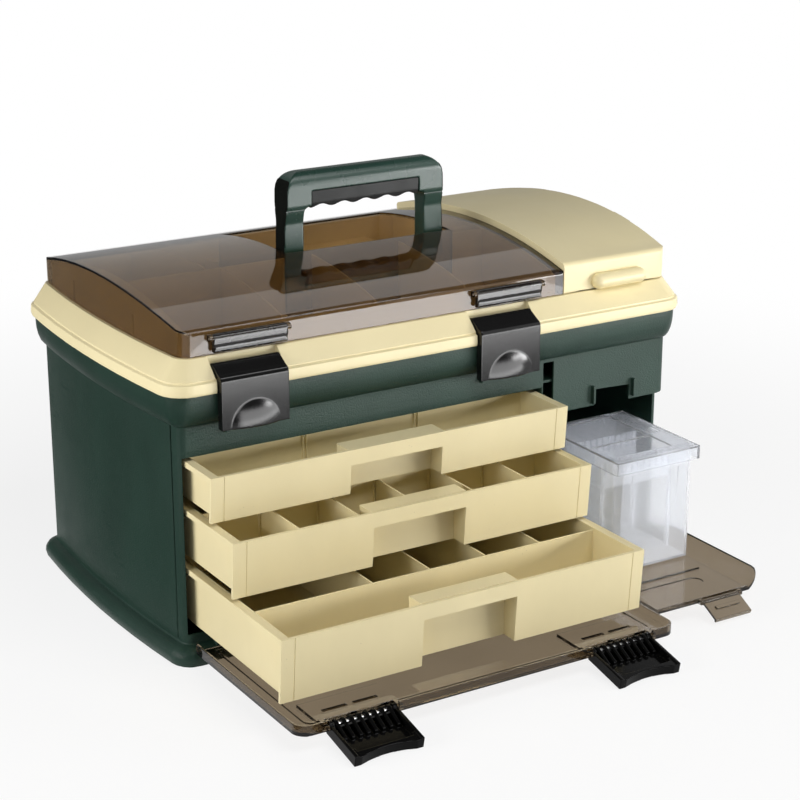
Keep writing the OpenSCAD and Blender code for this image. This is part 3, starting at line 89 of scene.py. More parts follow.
class Group:
    """A shader node group under construction, with short helpers for its nodes."""

    def __init__(self, name: str, inputs: dict[str, float], outputs: Sequence[str]) -> None:
        """Start the group.

        Args:
            name: Name of the group.
            inputs: Input names with their first values.
            outputs: Output names.
        """
        self.tree = bpy.data.node_groups.new(name, "ShaderNodeTree")
        for label, value in inputs.items():
            socket = self.tree.interface.new_socket(label, in_out="INPUT", socket_type=FLOAT_SOCKET)
            socket.default_value = value
        for label in outputs:
            self.tree.interface.new_socket(label, in_out="OUTPUT", socket_type=FLOAT_SOCKET)
        self.inp = self.tree.nodes.new("NodeGroupInput")
        self.out = self.tree.nodes.new("NodeGroupOutput")

    def node(self, kind: str, **settings: object) -> bpy.types.Node:
        """Add a node and set its properties.

        Args:
            kind: Blender's name of the node type.
            settings: Properties to set on it.

        Returns:
            The new node.
        """
        made = self.tree.nodes.new(kind)
        for key, value in settings.items():
            setattr(made, key, value)
        return made

    def wire(self, source: bpy.types.NodeSocket, target: bpy.types.NodeSocket) -> None:
        """Link two sockets."""
        self.tree.links.new(source, target)

    def math(self, operation: str, first: object, second: object = None) -> bpy.types.NodeSocket:
        """Add a math node.

        Args:
            operation: Name of the operation.
            first: A socket or a number.
            second: A socket or a number, if the operation has two terms.

        Returns:
            The socket with the result.
        """
        made = self.node("ShaderNodeMath", operation=operation)
        for slot, term in zip(made.inputs, (first, second)):
            if term is None:
                continue
            if isinstance(term, (int, float)):
                slot.default_value = term
            else:
                self.wire(term, slot)
        return made.outputs[0]

    def ramp(self, value: bpy.types.NodeSocket, low: float, high: float) -> bpy.types.NodeSocket:
        """Stretch a value smoothly so that low gives 0 and high gives 1.

        Args:
            value: The socket to stretch.
            low: Value that becomes 0.
            high: Value that becomes 1.

        Returns:
            The stretched socket.
        """
        made = self.node("ShaderNodeMapRange", interpolation_type="SMOOTHSTEP", clamp=True)
        made.inputs["From Min"].default_value = low
        made.inputs["From Max"].default_value = high
        self.wire(value, made.inputs["Value"])
        return made.outputs["Result"]

    def place(self, scale: Triple = (1, 1, 1), size: bpy.types.NodeSocket | None = None) -> bpy.types.NodeSocket:
        """Object coordinates, stretched per axis and divided by a size.

        Args:
            scale: Stretch along each axis.
            size: Socket with the size of one pattern unit in metres.

        Returns:
            The socket with the coordinates.
        """
        where = self.node("ShaderNodeTexCoord").outputs["Object"]
        mapping = self.node("ShaderNodeMapping")
        mapping.inputs["Scale"].default_value = scale
        self.wire(where, mapping.inputs["Vector"])
        if size is None:
            return mapping.outputs["Vector"]
        shrink = self.node("ShaderNodeVectorMath", operation="SCALE")
        self.wire(mapping.outputs["Vector"], shrink.inputs[0])
        self.wire(self.math("DIVIDE", 1.0, size), shrink.inputs["Scale"])
        return shrink.outputs["Vector"]

    def noise(self, where: bpy.types.NodeSocket, scale: float, detail: float = 3.0) -> bpy.types.NodeSocket:
        """Add a noise texture.

        Args:
            where: Coordinates.
            scale: Pattern units per coordinate unit.
            detail: Octaves of detail.

        Returns:
            The socket with the noise.
        """
        made = self.node("ShaderNodeTexNoise")
        made.inputs["Scale"].default_value = scale
        made.inputs["Detail"].default_value = detail
        self.wire(where, made.inputs["Vector"])
        return made.outputs["Fac"]


class Effects:
    """Shader groups that several finishes share."""

    def __init__(self) -> None:
        """Build each group once."""
        self.grain = self._grain()
        self.flow = self._flow()
        self.handling = self._handling()
        self.rub = self._rub()

    @staticmethod
    def _grain() -> bpy.types.NodeTree:
        """Pebbled leather-like grain of a textured mould.

        Returns:
            The group, with a height.
        """
        g = Group("Mould grain", {"Size": 0.0012}, ("Height",))
        where = g.place(size=g.inp.outputs["Size"])
        bend = g.noise(where, scale=0.45, detail=2.0)
        shift = g.node("ShaderNodeVectorMath", operation="ADD")
        g.wire(where, shift.inputs[0])
        g.wire(bend, shift.inputs[1])
        cells = g.node("ShaderNodeTexVoronoi", feature="SMOOTH_F1")
        cells.inputs["Scale"].default_value = 1.0
        cells.inputs["Smoothness"].default_value = 0.35
        g.wire(shift.outputs["Vector"], cells.inputs["Vector"])
        pebble = g.math("SUBTRACT", 1.0, g.math("POWER", cells.outputs["Distance"], 1.6))
        fine = g.noise(where, scale=3.1, detail=2.0)
        height = g.math("ADD", g.math("MULTIPLY", pebble, 0.8), g.math("MULTIPLY", fine, 0.35))
        g.wire(height, g.out.inputs["Height"])
        return g.tree

    @staticmethod
    def _flow() -> bpy.types.NodeTree:
        """Soft clouds left by the flow of the plastic, with rare specks.

        Returns:
            The group, with a cloud value and a speck mask.
        """
        g = Group("Mould flow", {"Size": 0.05}, ("Cloud", "Speck"))
        where = g.place((1.0, 1.0, 0.45), g.inp.outputs["Size"])
        cloud = g.noise(where, scale=1.0, detail=4.0)
        g.wire(g.ramp(cloud, low=0.3, high=0.7), g.out.inputs["Cloud"])
        dots = g.node("ShaderNodeTexVoronoi", feature="F1")
        dots.inputs["Scale"].default_value = 260.0
        g.wire(g.place(), dots.inputs["Vector"])
        rare = g.ramp(g.noise(g.place(), scale=90.0, detail=1.0), low=0.62, high=0.7)
        speck = g.ramp(dots.outputs["Distance"], low=0.13, high=0.06)
        g.wire(g.math("MULTIPLY", speck, rare), g.out.inputs["Speck"])
        return g.tree

    @staticmethod
    def _handling() -> bpy.types.NodeTree:
        """Smudges and hairline scuffs from use.

        Returns:
            The group, with a smudge value and a scuff mask.
        """
        g = Group("Handling marks", {"Size": 0.06}, ("Smudge", "Scuff"))
        where = g.place(size=g.inp.outputs["Size"])
        smudge = g.noise(where, scale=1.2, detail=5.0)
        g.wire(g.ramp(smudge, low=0.35, high=0.75), g.out.inputs["Smudge"])
        flat = g.place((14.0, 1.1, 9.0), g.inp.outputs["Size"])
        deep = g.place((1.3, 12.0, 16.0), g.inp.outputs["Size"])
        across = g.ramp(g.noise(flat, scale=1.6, detail=2.0), low=0.655, high=0.69)
        along = g.ramp(g.noise(deep, scale=1.5, detail=2.0), low=0.66, high=0.70)
        patch = g.ramp(g.noise(where, scale=0.7, detail=2.0), low=0.52, high=0.68)
        g.wire(g.math("MULTIPLY", g.math("MAXIMUM", across, along), patch), g.out.inputs["Scuff"])
        return g.tree

    @staticmethod
    def _rub() -> bpy.types.NodeTree:
        """Rubbed edges, found by how sharply the surface turns.

        Returns:
            The group, with a mask.
        """
        g = Group("Edge rub", {"Amount": 1.0}, ("Mask",))
        turn = g.ramp(g.node("ShaderNodeNewGeometry").outputs["Pointiness"], low=0.515, high=0.57)
        broken = g.ramp(g.noise(g.place(), scale=240.0), low=0.32, high=0.62)
        mask = g.math("MULTIPLY", turn, broken)
        g.wire(g.math("MULTIPLY", mask, g.inp.outputs["Amount"]), g.out.inputs["Mask"])
        return g.tree


EFFECTS = Effects()


class Sheet:
    """A material under construction."""

    def __init__(self, name: str) -> None:
        """Start the material with one Principled shader."""
        self.material = bpy.data.materials.new(name)
        self.material.use_nodes = True
        self.tree = self.material.node_tree
        self.shader = self.tree.nodes["Principled BSDF"]
        self.out = self.tree.nodes["Material Output"]

    def effect(self, group: bpy.types.NodeTree, **values: float) -> bpy.types.Node:
        """Place a shared group.

        Args:
            group: The shader group.
            values: Its input values.

        Returns:
            The group node.
        """
        made = self.tree.nodes.new("ShaderNodeGroup")
        made.node_tree = group
        for label, value in values.items():
            made.inputs[label].default_value = value
        return made

    def wire(self, source: bpy.types.NodeSocket, target: bpy.types.NodeSocket) -> None:
        """Link two sockets."""
        self.tree.links.new(source, target)

    def blend(self, mask: bpy.types.NodeSocket, below: object, above: object) -> bpy.types.NodeSocket:
        """Mix two colours by a mask.

        Args:
            mask: Socket from 0 to 1.
            below: Colour or socket where the mask is 0.
            above: Colour or socket where the mask is 1.

        Returns:
            The socket with the mixed colour.
        """
        mix = self.tree.nodes.new("ShaderNodeMix")
        mix.data_type = "RGBA"
        self.wire(mask, mix.inputs["Factor"])
        colours = [s for s in mix.inputs if s.type == "RGBA"]
        for slot, term in zip(colours, (below, above)):
            if isinstance(term, bpy.types.NodeSocket):
                self.wire(term, slot)
            else:
                slot.default_value = (*term, 1.0)
        return next(s for s in mix.outputs if s.type == "RGBA")

    def between(self, mask: bpy.types.NodeSocket, low: float, high: float) -> bpy.types.NodeSocket:
        """A value that runs from low to high with a mask.

        Args:
            mask: Socket from 0 to 1.
            low: Value at 0.
            high: Value at 1.

        Returns:
            The socket with the value.
        """
        made = self.tree.nodes.new("ShaderNodeMapRange")
        made.inputs["To Min"].default_value = low
        made.inputs["To Max"].default_value = high
        self.wire(mask, made.inputs["Value"])
        return made.outputs["Result"]

    def bump(self, height: bpy.types.NodeSocket, depth: float) -> None:
        """Drive the shader's normal from a height.

        Args:
            height: Socket with the height.
            depth: Height of a full step, in metres.
        """
        made = self.tree.nodes.new("ShaderNodeBump")
        made.inputs["Strength"].default_value = 1.0
        made.inputs["Distance"].default_value = depth
        self.wire(height, made.inputs["Height"])
        self.wire(made.outputs["Normal"], self.shader.inputs["Normal"])


def scaled(colour: Triple, share: float) -> Triple:
    """A colour made lighter or darker by a share."""
    return tuple(min(1.0, c * share) for c in colour)


@dataclass(frozen=True)
class Moulded:
    """An opaque moulded plastic."""

    name: str
    colour: Triple
    roughness: float
    wander: float = 0.1
    grain_size: float = 0.0005
    grain_depth: float = 0.00002
    rub: float = 0.0
    rub_tint: float = 1.0
    specular: float = 0.4
    flow_size: float = 0.06
    marks_size: float = 0.07
    speck_tint: float = 0.72
    smear: Pair = (0.9, 1.12)
    scuff_rise: float = 0.1

    def material(self) -> bpy.types.Material:
        """Build the material.

        Returns:
            The finished material.
        """
        sheet = Sheet(self.name)
        grain = sheet.effect(EFFECTS.grain, Size=self.grain_size)
        flow = sheet.effect(EFFECTS.flow, Size=self.flow_size)
        marks = sheet.effect(EFFECTS.handling, Size=self.marks_size)
        rub = sheet.effect(EFFECTS.rub, Amount=self.rub)
        dark, light = scaled(self.colour, 1 - self.wander), scaled(self.colour, 1 + self.wander)
        colour = sheet.blend(flow.outputs["Cloud"], dark, light)
        colour = sheet.blend(flow.outputs["Speck"], colour, scaled(self.colour, self.speck_tint))
        colour = sheet.blend(rub.outputs["Mask"], colour, scaled(self.colour, self.rub_tint))
        sheet.wire(colour, sheet.shader.inputs["Base Color"])
        low, high = (self.roughness * share for share in self.smear)
        smear = sheet.between(marks.outputs["Smudge"], low, high)
        scuffed = sheet.tree.nodes.new("ShaderNodeMath")
        scuffed.operation = "MULTIPLY_ADD"
        scuffed.inputs[1].default_value = self.scuff_rise
        sheet.wire(marks.outputs["Scuff"], scuffed.inputs[0])
        sheet.wire(smear, scuffed.inputs[2])
        sheet.wire(scuffed.outputs[0], sheet.shader.inputs["Roughness"])
        sheet.shader.inputs["Specular IOR Level"].default_value = self.specular
        sheet.bump(grain.outputs["Height"], self.grain_depth)
        return sheet.material


@dataclass(frozen=True)
class SeeThrough:
    """A see-through plastic that lets the lamps through to what lies behind it."""

    name: str
    tint: Triple
    roughness: float
    frost: float = 0.0
    ior: float = 1.4
    ripple: float = 0.000003
    pattern_size: float = 0.09
    cloud: Pair = (0.95, 1.04)
    smear: Pair = (0.7, 1.5)
    shadow_tint: float = 0.95

    def material(self) -> bpy.types.Material:
        """Build the material.

        Returns:
            The finished material.
        """
        sheet = Sheet(self.name)
        flow = sheet.effect(EFFECTS.flow, Size=self.pattern_size)
        marks = sheet.effect(EFFECTS.handling, Size=self.pattern_size)
        shader = sheet.shader
        colour = sheet.blend(flow.outputs["Cloud"], *(scaled(self.tint, share) for share in self.cloud))
        sheet.wire(colour, shader.inputs["Base Color"])
        rough = sheet.between(marks.outputs["Smudge"], *(self.roughness * share for share in self.smear))
        sheet.wire(rough, shader.inputs["Roughness"])
        shader.inputs["Transmission Weight"].default_value = 1.0 - self.frost
        shader.inputs["IOR"].default_value = self.ior
        sheet.bump(flow.outputs["Cloud"], self.ripple)
        clear = sheet.tree.nodes.new("ShaderNodeBsdfTransparent")
        clear.inputs["Color"].default_value = (*scaled(self.tint, self.shadow_tint), 1.0)
        path = sheet.tree.nodes.new("ShaderNodeLightPath")
        mix = sheet.tree.nodes.new("ShaderNodeMixShader")
        sheet.wire(path.outputs["Is Shadow Ray"], mix.inputs[0])
        sheet.wire(shader.outputs[0], mix.inputs[1])
        sheet.wire(clear.outputs[0], mix.inputs[2])
        sheet.wire(mix.outputs[0], sheet.out.inputs["Surface"])
        return sheet.material


@dataclass(frozen=True)
class Steel:
    """Plain drawn steel of the hinge pins."""

    name: str
    colour: Triple = (0.62, 0.62, 0.63)
    roughness: float = 0.28
    marks_size: float = 0.02
    smudge_tint: float = 0.85
    smear: Pair = (0.8, 1.3)

    def material(self) -> bpy.types.Material:
        """Build the material.

        Returns:
            The finished material.
        """
        sheet = Sheet(self.name)
        marks = sheet.effect(EFFECTS.handling, Size=self.marks_size)
        colour = sheet.blend(marks.outputs["Smudge"], scaled(self.colour, self.smudge_tint), self.colour)
        sheet.wire(colour, sheet.shader.inputs["Base Color"])
        rough = sheet.between(marks.outputs["Smudge"], *(self.roughness * share for share in self.smear))
        sheet.wire(rough, sheet.shader.inputs["Roughness"])
        sheet.shader.inputs["Metallic"].default_value = 1.0
        return sheet.material


class Finishes:
    """Every finish of the box, built once."""

    def __init__(self) -> None:
        """Make the materials."""
        self.case = Moulded(
            "Grained green", (0.015, 0.037, 0.027), roughness=0.42, grain_size=0.0013, grain_depth=0.00016,
            specular=0.24,
        ).material()
        self.handle = Moulded(
            "Smooth green", (0.014, 0.042, 0.031), roughness=0.28, wander=0.08, rub=0.2, rub_tint=1.5,
            specular=0.5,
        ).material()
        self.cream = Moulded(
            "Satin cream", (0.80, 0.70, 0.42), roughness=0.42, wander=0.02, grain_depth=0.000018,
        ).material()
        self.drawer = Moulded(
            "Drawer cream", (0.77, 0.67, 0.40), roughness=0.38, wander=0.03, grain_size=0.0006,
        ).material()
        self.black = Moulded(
            "Black latch", (0.005, 0.005, 0.005), roughness=0.13, rub=0.2, rub_tint=2.0, specular=0.36,
        ).material()
        self.gloss = Moulded(
            "Glossy black", (0.003, 0.003, 0.003), roughness=0.14, grain_size=0.0007, grain_depth=0.00001,
            rub=0.2, rub_tint=2.0, specular=0.08,
        ).material()
        # Near-black painted shade, laid as a skin on the handle's outer sides.
        self.side_shade = Moulded(
            "Handle side painted shade", (0.004, 0.005, 0.004), roughness=0.5, grain_size=0.0006, specular=0.04,
        ).material()
        self.rubber = Moulded(
            "Grip black", (0.013, 0.014, 0.014), roughness=0.55, grain_size=0.0007, grain_depth=0.00008,
            rub=0.2, rub_tint=1.8, specular=0.3,
        ).material()
        self.smoke = SeeThrough("Smoke cover", (0.33, 0.26, 0.18), roughness=0.03, ior=1.46).material()
        self.well = SeeThrough("Smoke well", (0.66, 0.56, 0.42), roughness=0.06, frost=0.1).material()
        self.tab = SeeThrough("Smoke tab", (0.05, 0.042, 0.035), roughness=0.06, ior=1.5).material()
        self.pane = SeeThrough("Smoke door", (0.24, 0.19, 0.13), roughness=0.05).material()
        self.clear = SeeThrough("Frosted clear", (0.86, 0.87, 0.89), roughness=0.12, frost=0.2).material()
        self.window = SeeThrough("Clear lid", (0.88, 0.89, 0.91), roughness=0.05, frost=0.07).material()
        self.steel = Steel("Hinge steel").material()


FINISH = Finishes()


def only(obj: bpy.types.Object) -> None:
    """Deselect everything, then select one object and make it active."""
    bpy.ops.object.select_all(action="DESELECT")
    obj.select_set(True)
    bpy.context.view_layer.objects.active = obj


def shade(obj: bpy.types.Object) -> None:
    """Smooth the soft turns of a mesh and keep its flats flat."""
    only(obj)
    bpy.ops.object.shade_smooth_by_angle(angle=math.radians(SMOOTH_TURN))
    even = obj.modifiers.new("Even shading", "WEIGHTED_NORMAL")
    even.keep_sharp = True
    bpy.ops.object.modifier_apply(modifier=even.name)


def merged_copy(node: str) -> bpy.types.Object:
    """Copy a CAD node as one merged mesh with well-shaped triangles.

    Args:
        node: Name of the CAD node.

    Returns:
        The copy, which stands for the node.
    """
    source = frame["nodes"][node]
    obj = bpy.data.objects.new(f"{node}_moulding", source.data.copy())
    bpy.context.scene.collection.objects.link(obj)
    only(obj)
    bpy.ops.mesh.customdata_custom_splitnormals_clear()
    bpy.ops.object.mode_set(mode="EDIT")
    bpy.ops.mesh.select_all(action="SELECT")
    bpy.ops.mesh.remove_doubles(threshold=MERGE_GAP)
    bpy.ops.mesh.dissolve_limited(angle_limit=math.radians(FLAT_TURN))
    bpy.ops.mesh.quads_convert_to_tris(quad_method="BEAUTY", ngon_method="BEAUTY")
    bpy.ops.object.mode_set(mode="OBJECT")
    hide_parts(node)
    return obj


def roomy_edges(obj: bpy.types.Object, width: float, turn: float) -> list[int]:
    """Find the sharp edges of a mesh that have room for a rounding.

    Args:
        obj: The mesh object.
        width: Width of the rounding in metres.
        turn: Least angle between the two faces, in degrees.

    Returns:
        The indices of the edges.
    """
    mesh = bmesh.new()
    mesh.from_mesh(obj.data)
    mesh.normal_update()
    picks = []
    for edge in mesh.edges:
        if len(edge.link_faces) != 2 or edge.calc_face_angle() < math.radians(turn):
            continue
        nearby = min(e.calc_length() for v in edge.verts for e in v.link_edges if e is not edge)
        if edge.calc_length() > ROOM_ALONG * width and nearby > ROOM_BESIDE * width:
            picks.append(edge.index)
    mesh.free()
    return picks


def round_edges(obj: bpy.types.Object, picks: list[int], width: float, steps: int) -> None:
    """Round chosen edges of a mesh.

    Args:
        obj: The mesh object.
        picks: Indices of the edges.
        width: Width of the rounding in metres.
        steps: Segments across the rounding.
    """
    only(obj)
    bpy.ops.object.mode_set(mode="EDIT")
    bpy.ops.mesh.select_mode(type="EDGE")
    bpy.ops.mesh.select_all(action="DESELECT")
    bpy.ops.object.mode_set(mode="OBJECT")
    for index in picks:
        obj.data.edges[index].select = True
    bpy.ops.object.mode_set(mode="EDIT")
    bpy.ops.mesh.bevel(offset=width, segments=steps, affect="EDGES", clamp_overlap=False)
    bpy.ops.object.mode_set(mode="OBJECT")


def soften(obj: bpy.types.Object, voxel: float, passes: int, keep: float) -> None:
    """Melt every edge of a closed mesh into a small radius.

    Args:
        obj: The mesh object.
        voxel: Size of the new faces in metres.
        passes: Rounds of smoothing.
        keep: Share of the faces that is kept at the end.
    """
    only(obj)
    remesh = obj.modifiers.new("Even faces", "REMESH")
    remesh.mode = "VOXEL"
    remesh.voxel_size = voxel
    bpy.ops.object.modifier_apply(modifier=remesh.name)
    melt = obj.modifiers.new("Melt", "SMOOTH")
    melt.factor = 0.5
    melt.iterations = passes
    bpy.ops.object.modifier_apply(modifier=melt.name)
    thin = obj.modifiers.new("Thin", "DECIMATE")
    thin.ratio = keep
    bpy.ops.object.modifier_apply(modifier=thin.name)


def pick(obj: bpy.types.Object, test: Callable[[Vector], bool]) -> None:
    """Go into edit mode with the vertices selected that pass a test.

    Args:
        obj: The mesh object.
        test: Says of a place in millimetres whether it is wanted.
    """
    only(obj)
    bpy.ops.object.mode_set(mode="EDIT")
    bpy.ops.mesh.select_mode(type="VERT")
    bpy.ops.mesh.select_all(action="DESELECT")
    bpy.ops.object.mode_set(mode="OBJECT")
    for vertex in obj.data.vertices:
        vertex.select = test(vertex.co / MM)
    bpy.ops.object.mode_set(mode="EDIT")


def nudge(obj: bpy.types.Object, test: Callable[[Vector], bool], shift: Triple) -> None:
    """Move the vertices that pass a test.

    Args:
        obj: The mesh object.
        test: Says of a place in millimetres whether it is wanted.
        shift: The move in millimetres.
    """
    pick(obj, test)
    bpy.ops.transform.translate(value=[step * MM for step in shift])
    bpy.ops.object.mode_set(mode="OBJECT")


def slice_at(obj: bpy.types.Object, axis: int, places: Sequence[float]) -> None:
    """Cut new edges across a mesh at planes square to an axis.

    Args:
        obj: The mesh object.
        axis: 0, 1 or 2 for X, Y or Z.
        places: Where the planes cross the axis, in millimetres.
    """
    for place in places:
        pick(obj, lambda co: True)
        point, normal = [0.0] * 3, [0.0] * 3
        point[axis], normal[axis] = place * MM, 1.0
        bpy.ops.mesh.bisect(plane_co=point, plane_no=normal)
        bpy.ops.object.mode_set(mode="OBJECT")


def block(name: str, low: Triple, high: Triple) -> bpy.types.Object:
    """Add an oblong block between two corners given in millimetres.

    Args:
        name: Name of the object.
        low: Lowest corner.
        high: Highest corner.

    Returns:
        The block, at the origin with its place in its mesh.
    """
    bpy.ops.object.select_all(action="DESELECT")
    middle = [(a + b) / 2 * MM for a, b in zip(low, high)]
    bpy.ops.mesh.primitive_cube_add(size=1.0, location=middle)
    obj = bpy.context.object
    obj.name = name
    obj.scale = [(b - a) * MM for a, b in zip(low, high)]
    bpy.ops.object.transform_apply(location=True, rotation=False, scale=True)
    return obj


def joined(obj: bpy.types.Object, others: Sequence[bpy.types.Object]) -> bpy.types.Object:
    """Join other objects into one and return it."""
    only(obj)
    for other in others:
        other.select_set(True)
    bpy.ops.object.join()
    return obj


def cut_away(obj: bpy.types.Object, cutter: bpy.types.Object) -> None:
    """Take a cutter's room out of a mesh and delete the cutter.

    Args:
        obj: The mesh object.
        cutter: Closed mesh that is removed from it.
    """
    only(obj)
    cut = obj.modifiers.new("Cut", "BOOLEAN")
    cut.operation = "DIFFERENCE"
    cut.solver = "EXACT"
    cut.object = cutter
    bpy.ops.object.modifier_apply(modifier=cut.name)
    bpy.data.objects.remove(cutter, do_unlink=True)


def dress(obj: bpy.types.Object, body: str, material: bpy.types.Material) -> bpy.types.Object:
    """Give a piece its material and its body.

    Args:
        obj: The finished piece.
        body: CAD body that it rides on.
        material: Its finish.

    Returns:
        The same piece.
    """
    obj.data.materials.clear()
    obj.data.materials.append(material)
    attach(obj, body)
    LOG.info("%s rides on %s, %d faces", obj.name, body, len(obj.data.polygons))
    return obj


@dataclass
class Moulding:
    """A CAD node carried over with rounded edges."""

    node: str
    material: bpy.types.Material
    slot: str
    edge: Edge = Edge.FINE
    steps: int = 2
    turn: float = 35.0

    def build(self) -> bpy.types.Object:
        """Copy the node, shape it and dress it.

        Returns:
            The new piece, which stands for the node.
        """
        obj = merged_copy(self.node)
        self.shape(obj)
        shade(obj)
        return dress(obj, frame["nodes"][self.node]["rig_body"], self.material)

    def shape(self, obj: bpy.types.Object) -> None:
        """Round the edges that have room for it."""
        width = self.edge.value * MM
        round_edges(obj, roomy_edges(obj, width, self.turn), width, self.steps)


@dataclass
class SoftMoulding(Moulding):
    """A CAD node carried over with all its edges melted to a radius."""

    voxel: float = 0.0006
    passes: int = 6
    keep: float = 0.3

    def shape(self, obj: bpy.types.Object) -> None:
        """Melt the edges."""
        soften(obj, self.voxel, self.passes, self.keep)


@dataclass
class Pins:
    """Steel hinge pins, carried over as they are."""

    nodes: tuple[str, ...] = (
        "lid_pins", "front_door_pin", "side_door_pin", "lid_latch_pins", "cover_pins", "side_cover_pins",
        "handle_pins", "cover_tab_pins", "door_latch_pins", "side_latch_pin", "hook_lid_pin",
    )

    def build(self) -> None:
        """Dress each pin in steel."""
        for node in self.nodes:
            obj = frame["nodes"][node]
            obj.data.materials.clear()
            obj.data.materials.append(FINISH.steel)
            LOG.info("%s dressed in steel", node)


@dataclass
class CaseShell(Moulding):
    """The outer body, with the notch of the side catch open downwards."""

    notch_low: Triple = (168.5, -150.0, 150.0)
    notch_high: Triple = (208.0, -134.0, 160.5)

    def shape(self, obj: bpy.types.Object) -> None:
        """Open the notch, then round the edges."""
        cut_away(obj, block("Notch", self.notch_low, self.notch_high))
        super().shape(obj)


@dataclass
class Case:
    """The grained body with its inner walls and drawer guides."""

    inner: tuple[str, ...] = ("bay_partition", "storage_floor", "guide_left", "guide_right")

    def build(self) -> None:
        """Build the body and its inner pieces."""
        CaseShell("case_shell", FINISH.case, "case_green", Edge.SOFT).build()
        for node in self.inner:
            Moulding(node, FINISH.case, "case_green", Edge.CRISP).build()


@dataclass
class LidTray(Moulding):
    """The lid, with a grooved bead above its lower edge."""

    bead: float = 246.5
    raised: float = 2.5
    groove: float = 1.3
    span: float = 1.05
    near: float = 0.05
    drawn_in: Triple = (0.9955, 0.992, 1.0)

    def shape(self, obj: bpy.types.Object) -> None:
        """Raise the bead, cut the groove above it and round the edges."""
        nudge(obj, lambda co: self.bead - self.span < co.z < self.bead + self.near, (0.0, 0.0, self.raised))
        top = self.bead + self.raised
        slice_at(obj, 2, (top + self.groove,))
        pick(obj, lambda co: abs(co.z - top) < self.near)
        bpy.ops.transform.resize(value=self.drawn_in, center_override=(0.0, 0.0, 0.0))
        bpy.ops.object.mode_set(mode="OBJECT")
        super().shape(obj)


@dataclass
class SideCover(Moulding):
    """The cream side cover, with a rounded finger roll on its front."""

    middle: Triple = (195.0, -138.6, 272.8)
    radii: Triple = (8.0, 7.6, 7.2)
    straight: float = 21.0
    cad_end: float = 31.0
    near: float = 0.2
    cad_face: float = -135.0
    cad_top: float = 278.0
    drawn_in: float = 9.0

    def shape(self, obj: bpy.types.Object) -> None:
        """Draw in the CAD tab so that the roll covers it, then round the edges."""
        for side in (-1, 1):
            end = self.middle[0] + side * self.cad_end
            nudge(obj, lambda co: abs(co.x - end) < self.near and co.y < self.cad_face and co.z < self.cad_top,
                  (-side * self.drawn_in, 0.0, 0.0))
        super().shape(obj)

    def roll(self) -> bpy.types.Object:
        """Stretch a ball into the finger roll.

        Returns:
            The roll, riding with the cover.
        """
        bpy.ops.object.select_all(action="DESELECT")
        bpy.ops.mesh.primitive_uv_sphere_add(
            segments=40, ring_count=24, radius=MM, rotation=(0.0, math.pi / 2, 0.0),
        )
        obj = bpy.context.object
        obj.name = "side_cover_finger_roll"
        bpy.ops.object.transform_apply(location=True, rotation=True, scale=True)
        pick(obj, lambda co: True)
        bpy.ops.transform.resize(value=self.radii, center_override=(0.0, 0.0, 0.0))
        bpy.ops.object.mode_set(mode="OBJECT")
        for side in (-1, 1):
            nudge(obj, lambda co: co.x * side > 0.05, (side * self.straight, 0.0, 0.0))
        nudge(obj, lambda co: True, self.middle)
        shade(obj)
        return dress(obj, "side_cover_body", self.material)


@dataclass
class SnapTab(SoftMoulding):
    """A snap tab: a bar with a sloping top and an upright face over the CAD lip."""

    voxel: float = 0.0005
    passes: int = 7
    keep: float = 0.35
    middle: float = 0.0
    width: float = 66.0
    back: float = -136.4
    front: float = -141.4
    low: float = 269.4
    high: float = 283.0
    slope: float = 3.4
    near: float = 0.1

    def shape(self, obj: bpy.types.Object) -> None:
        """Join the bar to the lip and melt both together."""
        half = self.width / 2
        low = (self.middle - half, self.front, self.low)
        bar = block("Bar", low, (self.middle + half, self.back, self.high))
        pick(bar, lambda co: co.y < self.front + self.near and co.z > self.high - self.near)
        bpy.ops.mesh.bevel(offset=self.slope * MM, segments=1, affect="EDGES")
        bpy.ops.object.mode_set(mode="OBJECT")
        joined(obj, [bar])
        super().shape(obj)


@dataclass
class Lid:
    """The cream lid with its tray, covers and snap tabs."""

    tab_middles: tuple[tuple[str, float], ...] = (("left", -181.0), ("right", 74.0))

    def build(self) -> None:
        """Build the lid and what is hinged to it."""
        LidTray("lid_tray", FINISH.cream, "cream", Edge.FINE).build()
        Moulding("tray_dividers", FINISH.cream, "cream", Edge.CRISP).build()
        Moulding("handle_well", FINISH.well, "smoke", Edge.CRISP).build()
        side = SideCover("side_cover", FINISH.cream, "cream", Edge.SOFT)
        side.build()
        side.roll()
        Moulding("smoke_cover", FINISH.smoke, "smoke", Edge.FINE).build()
        for name, middle in self.tab_middles:
            SnapTab(f"cover_tab_{name}", FINISH.tab, "smoke", middle=middle).build()


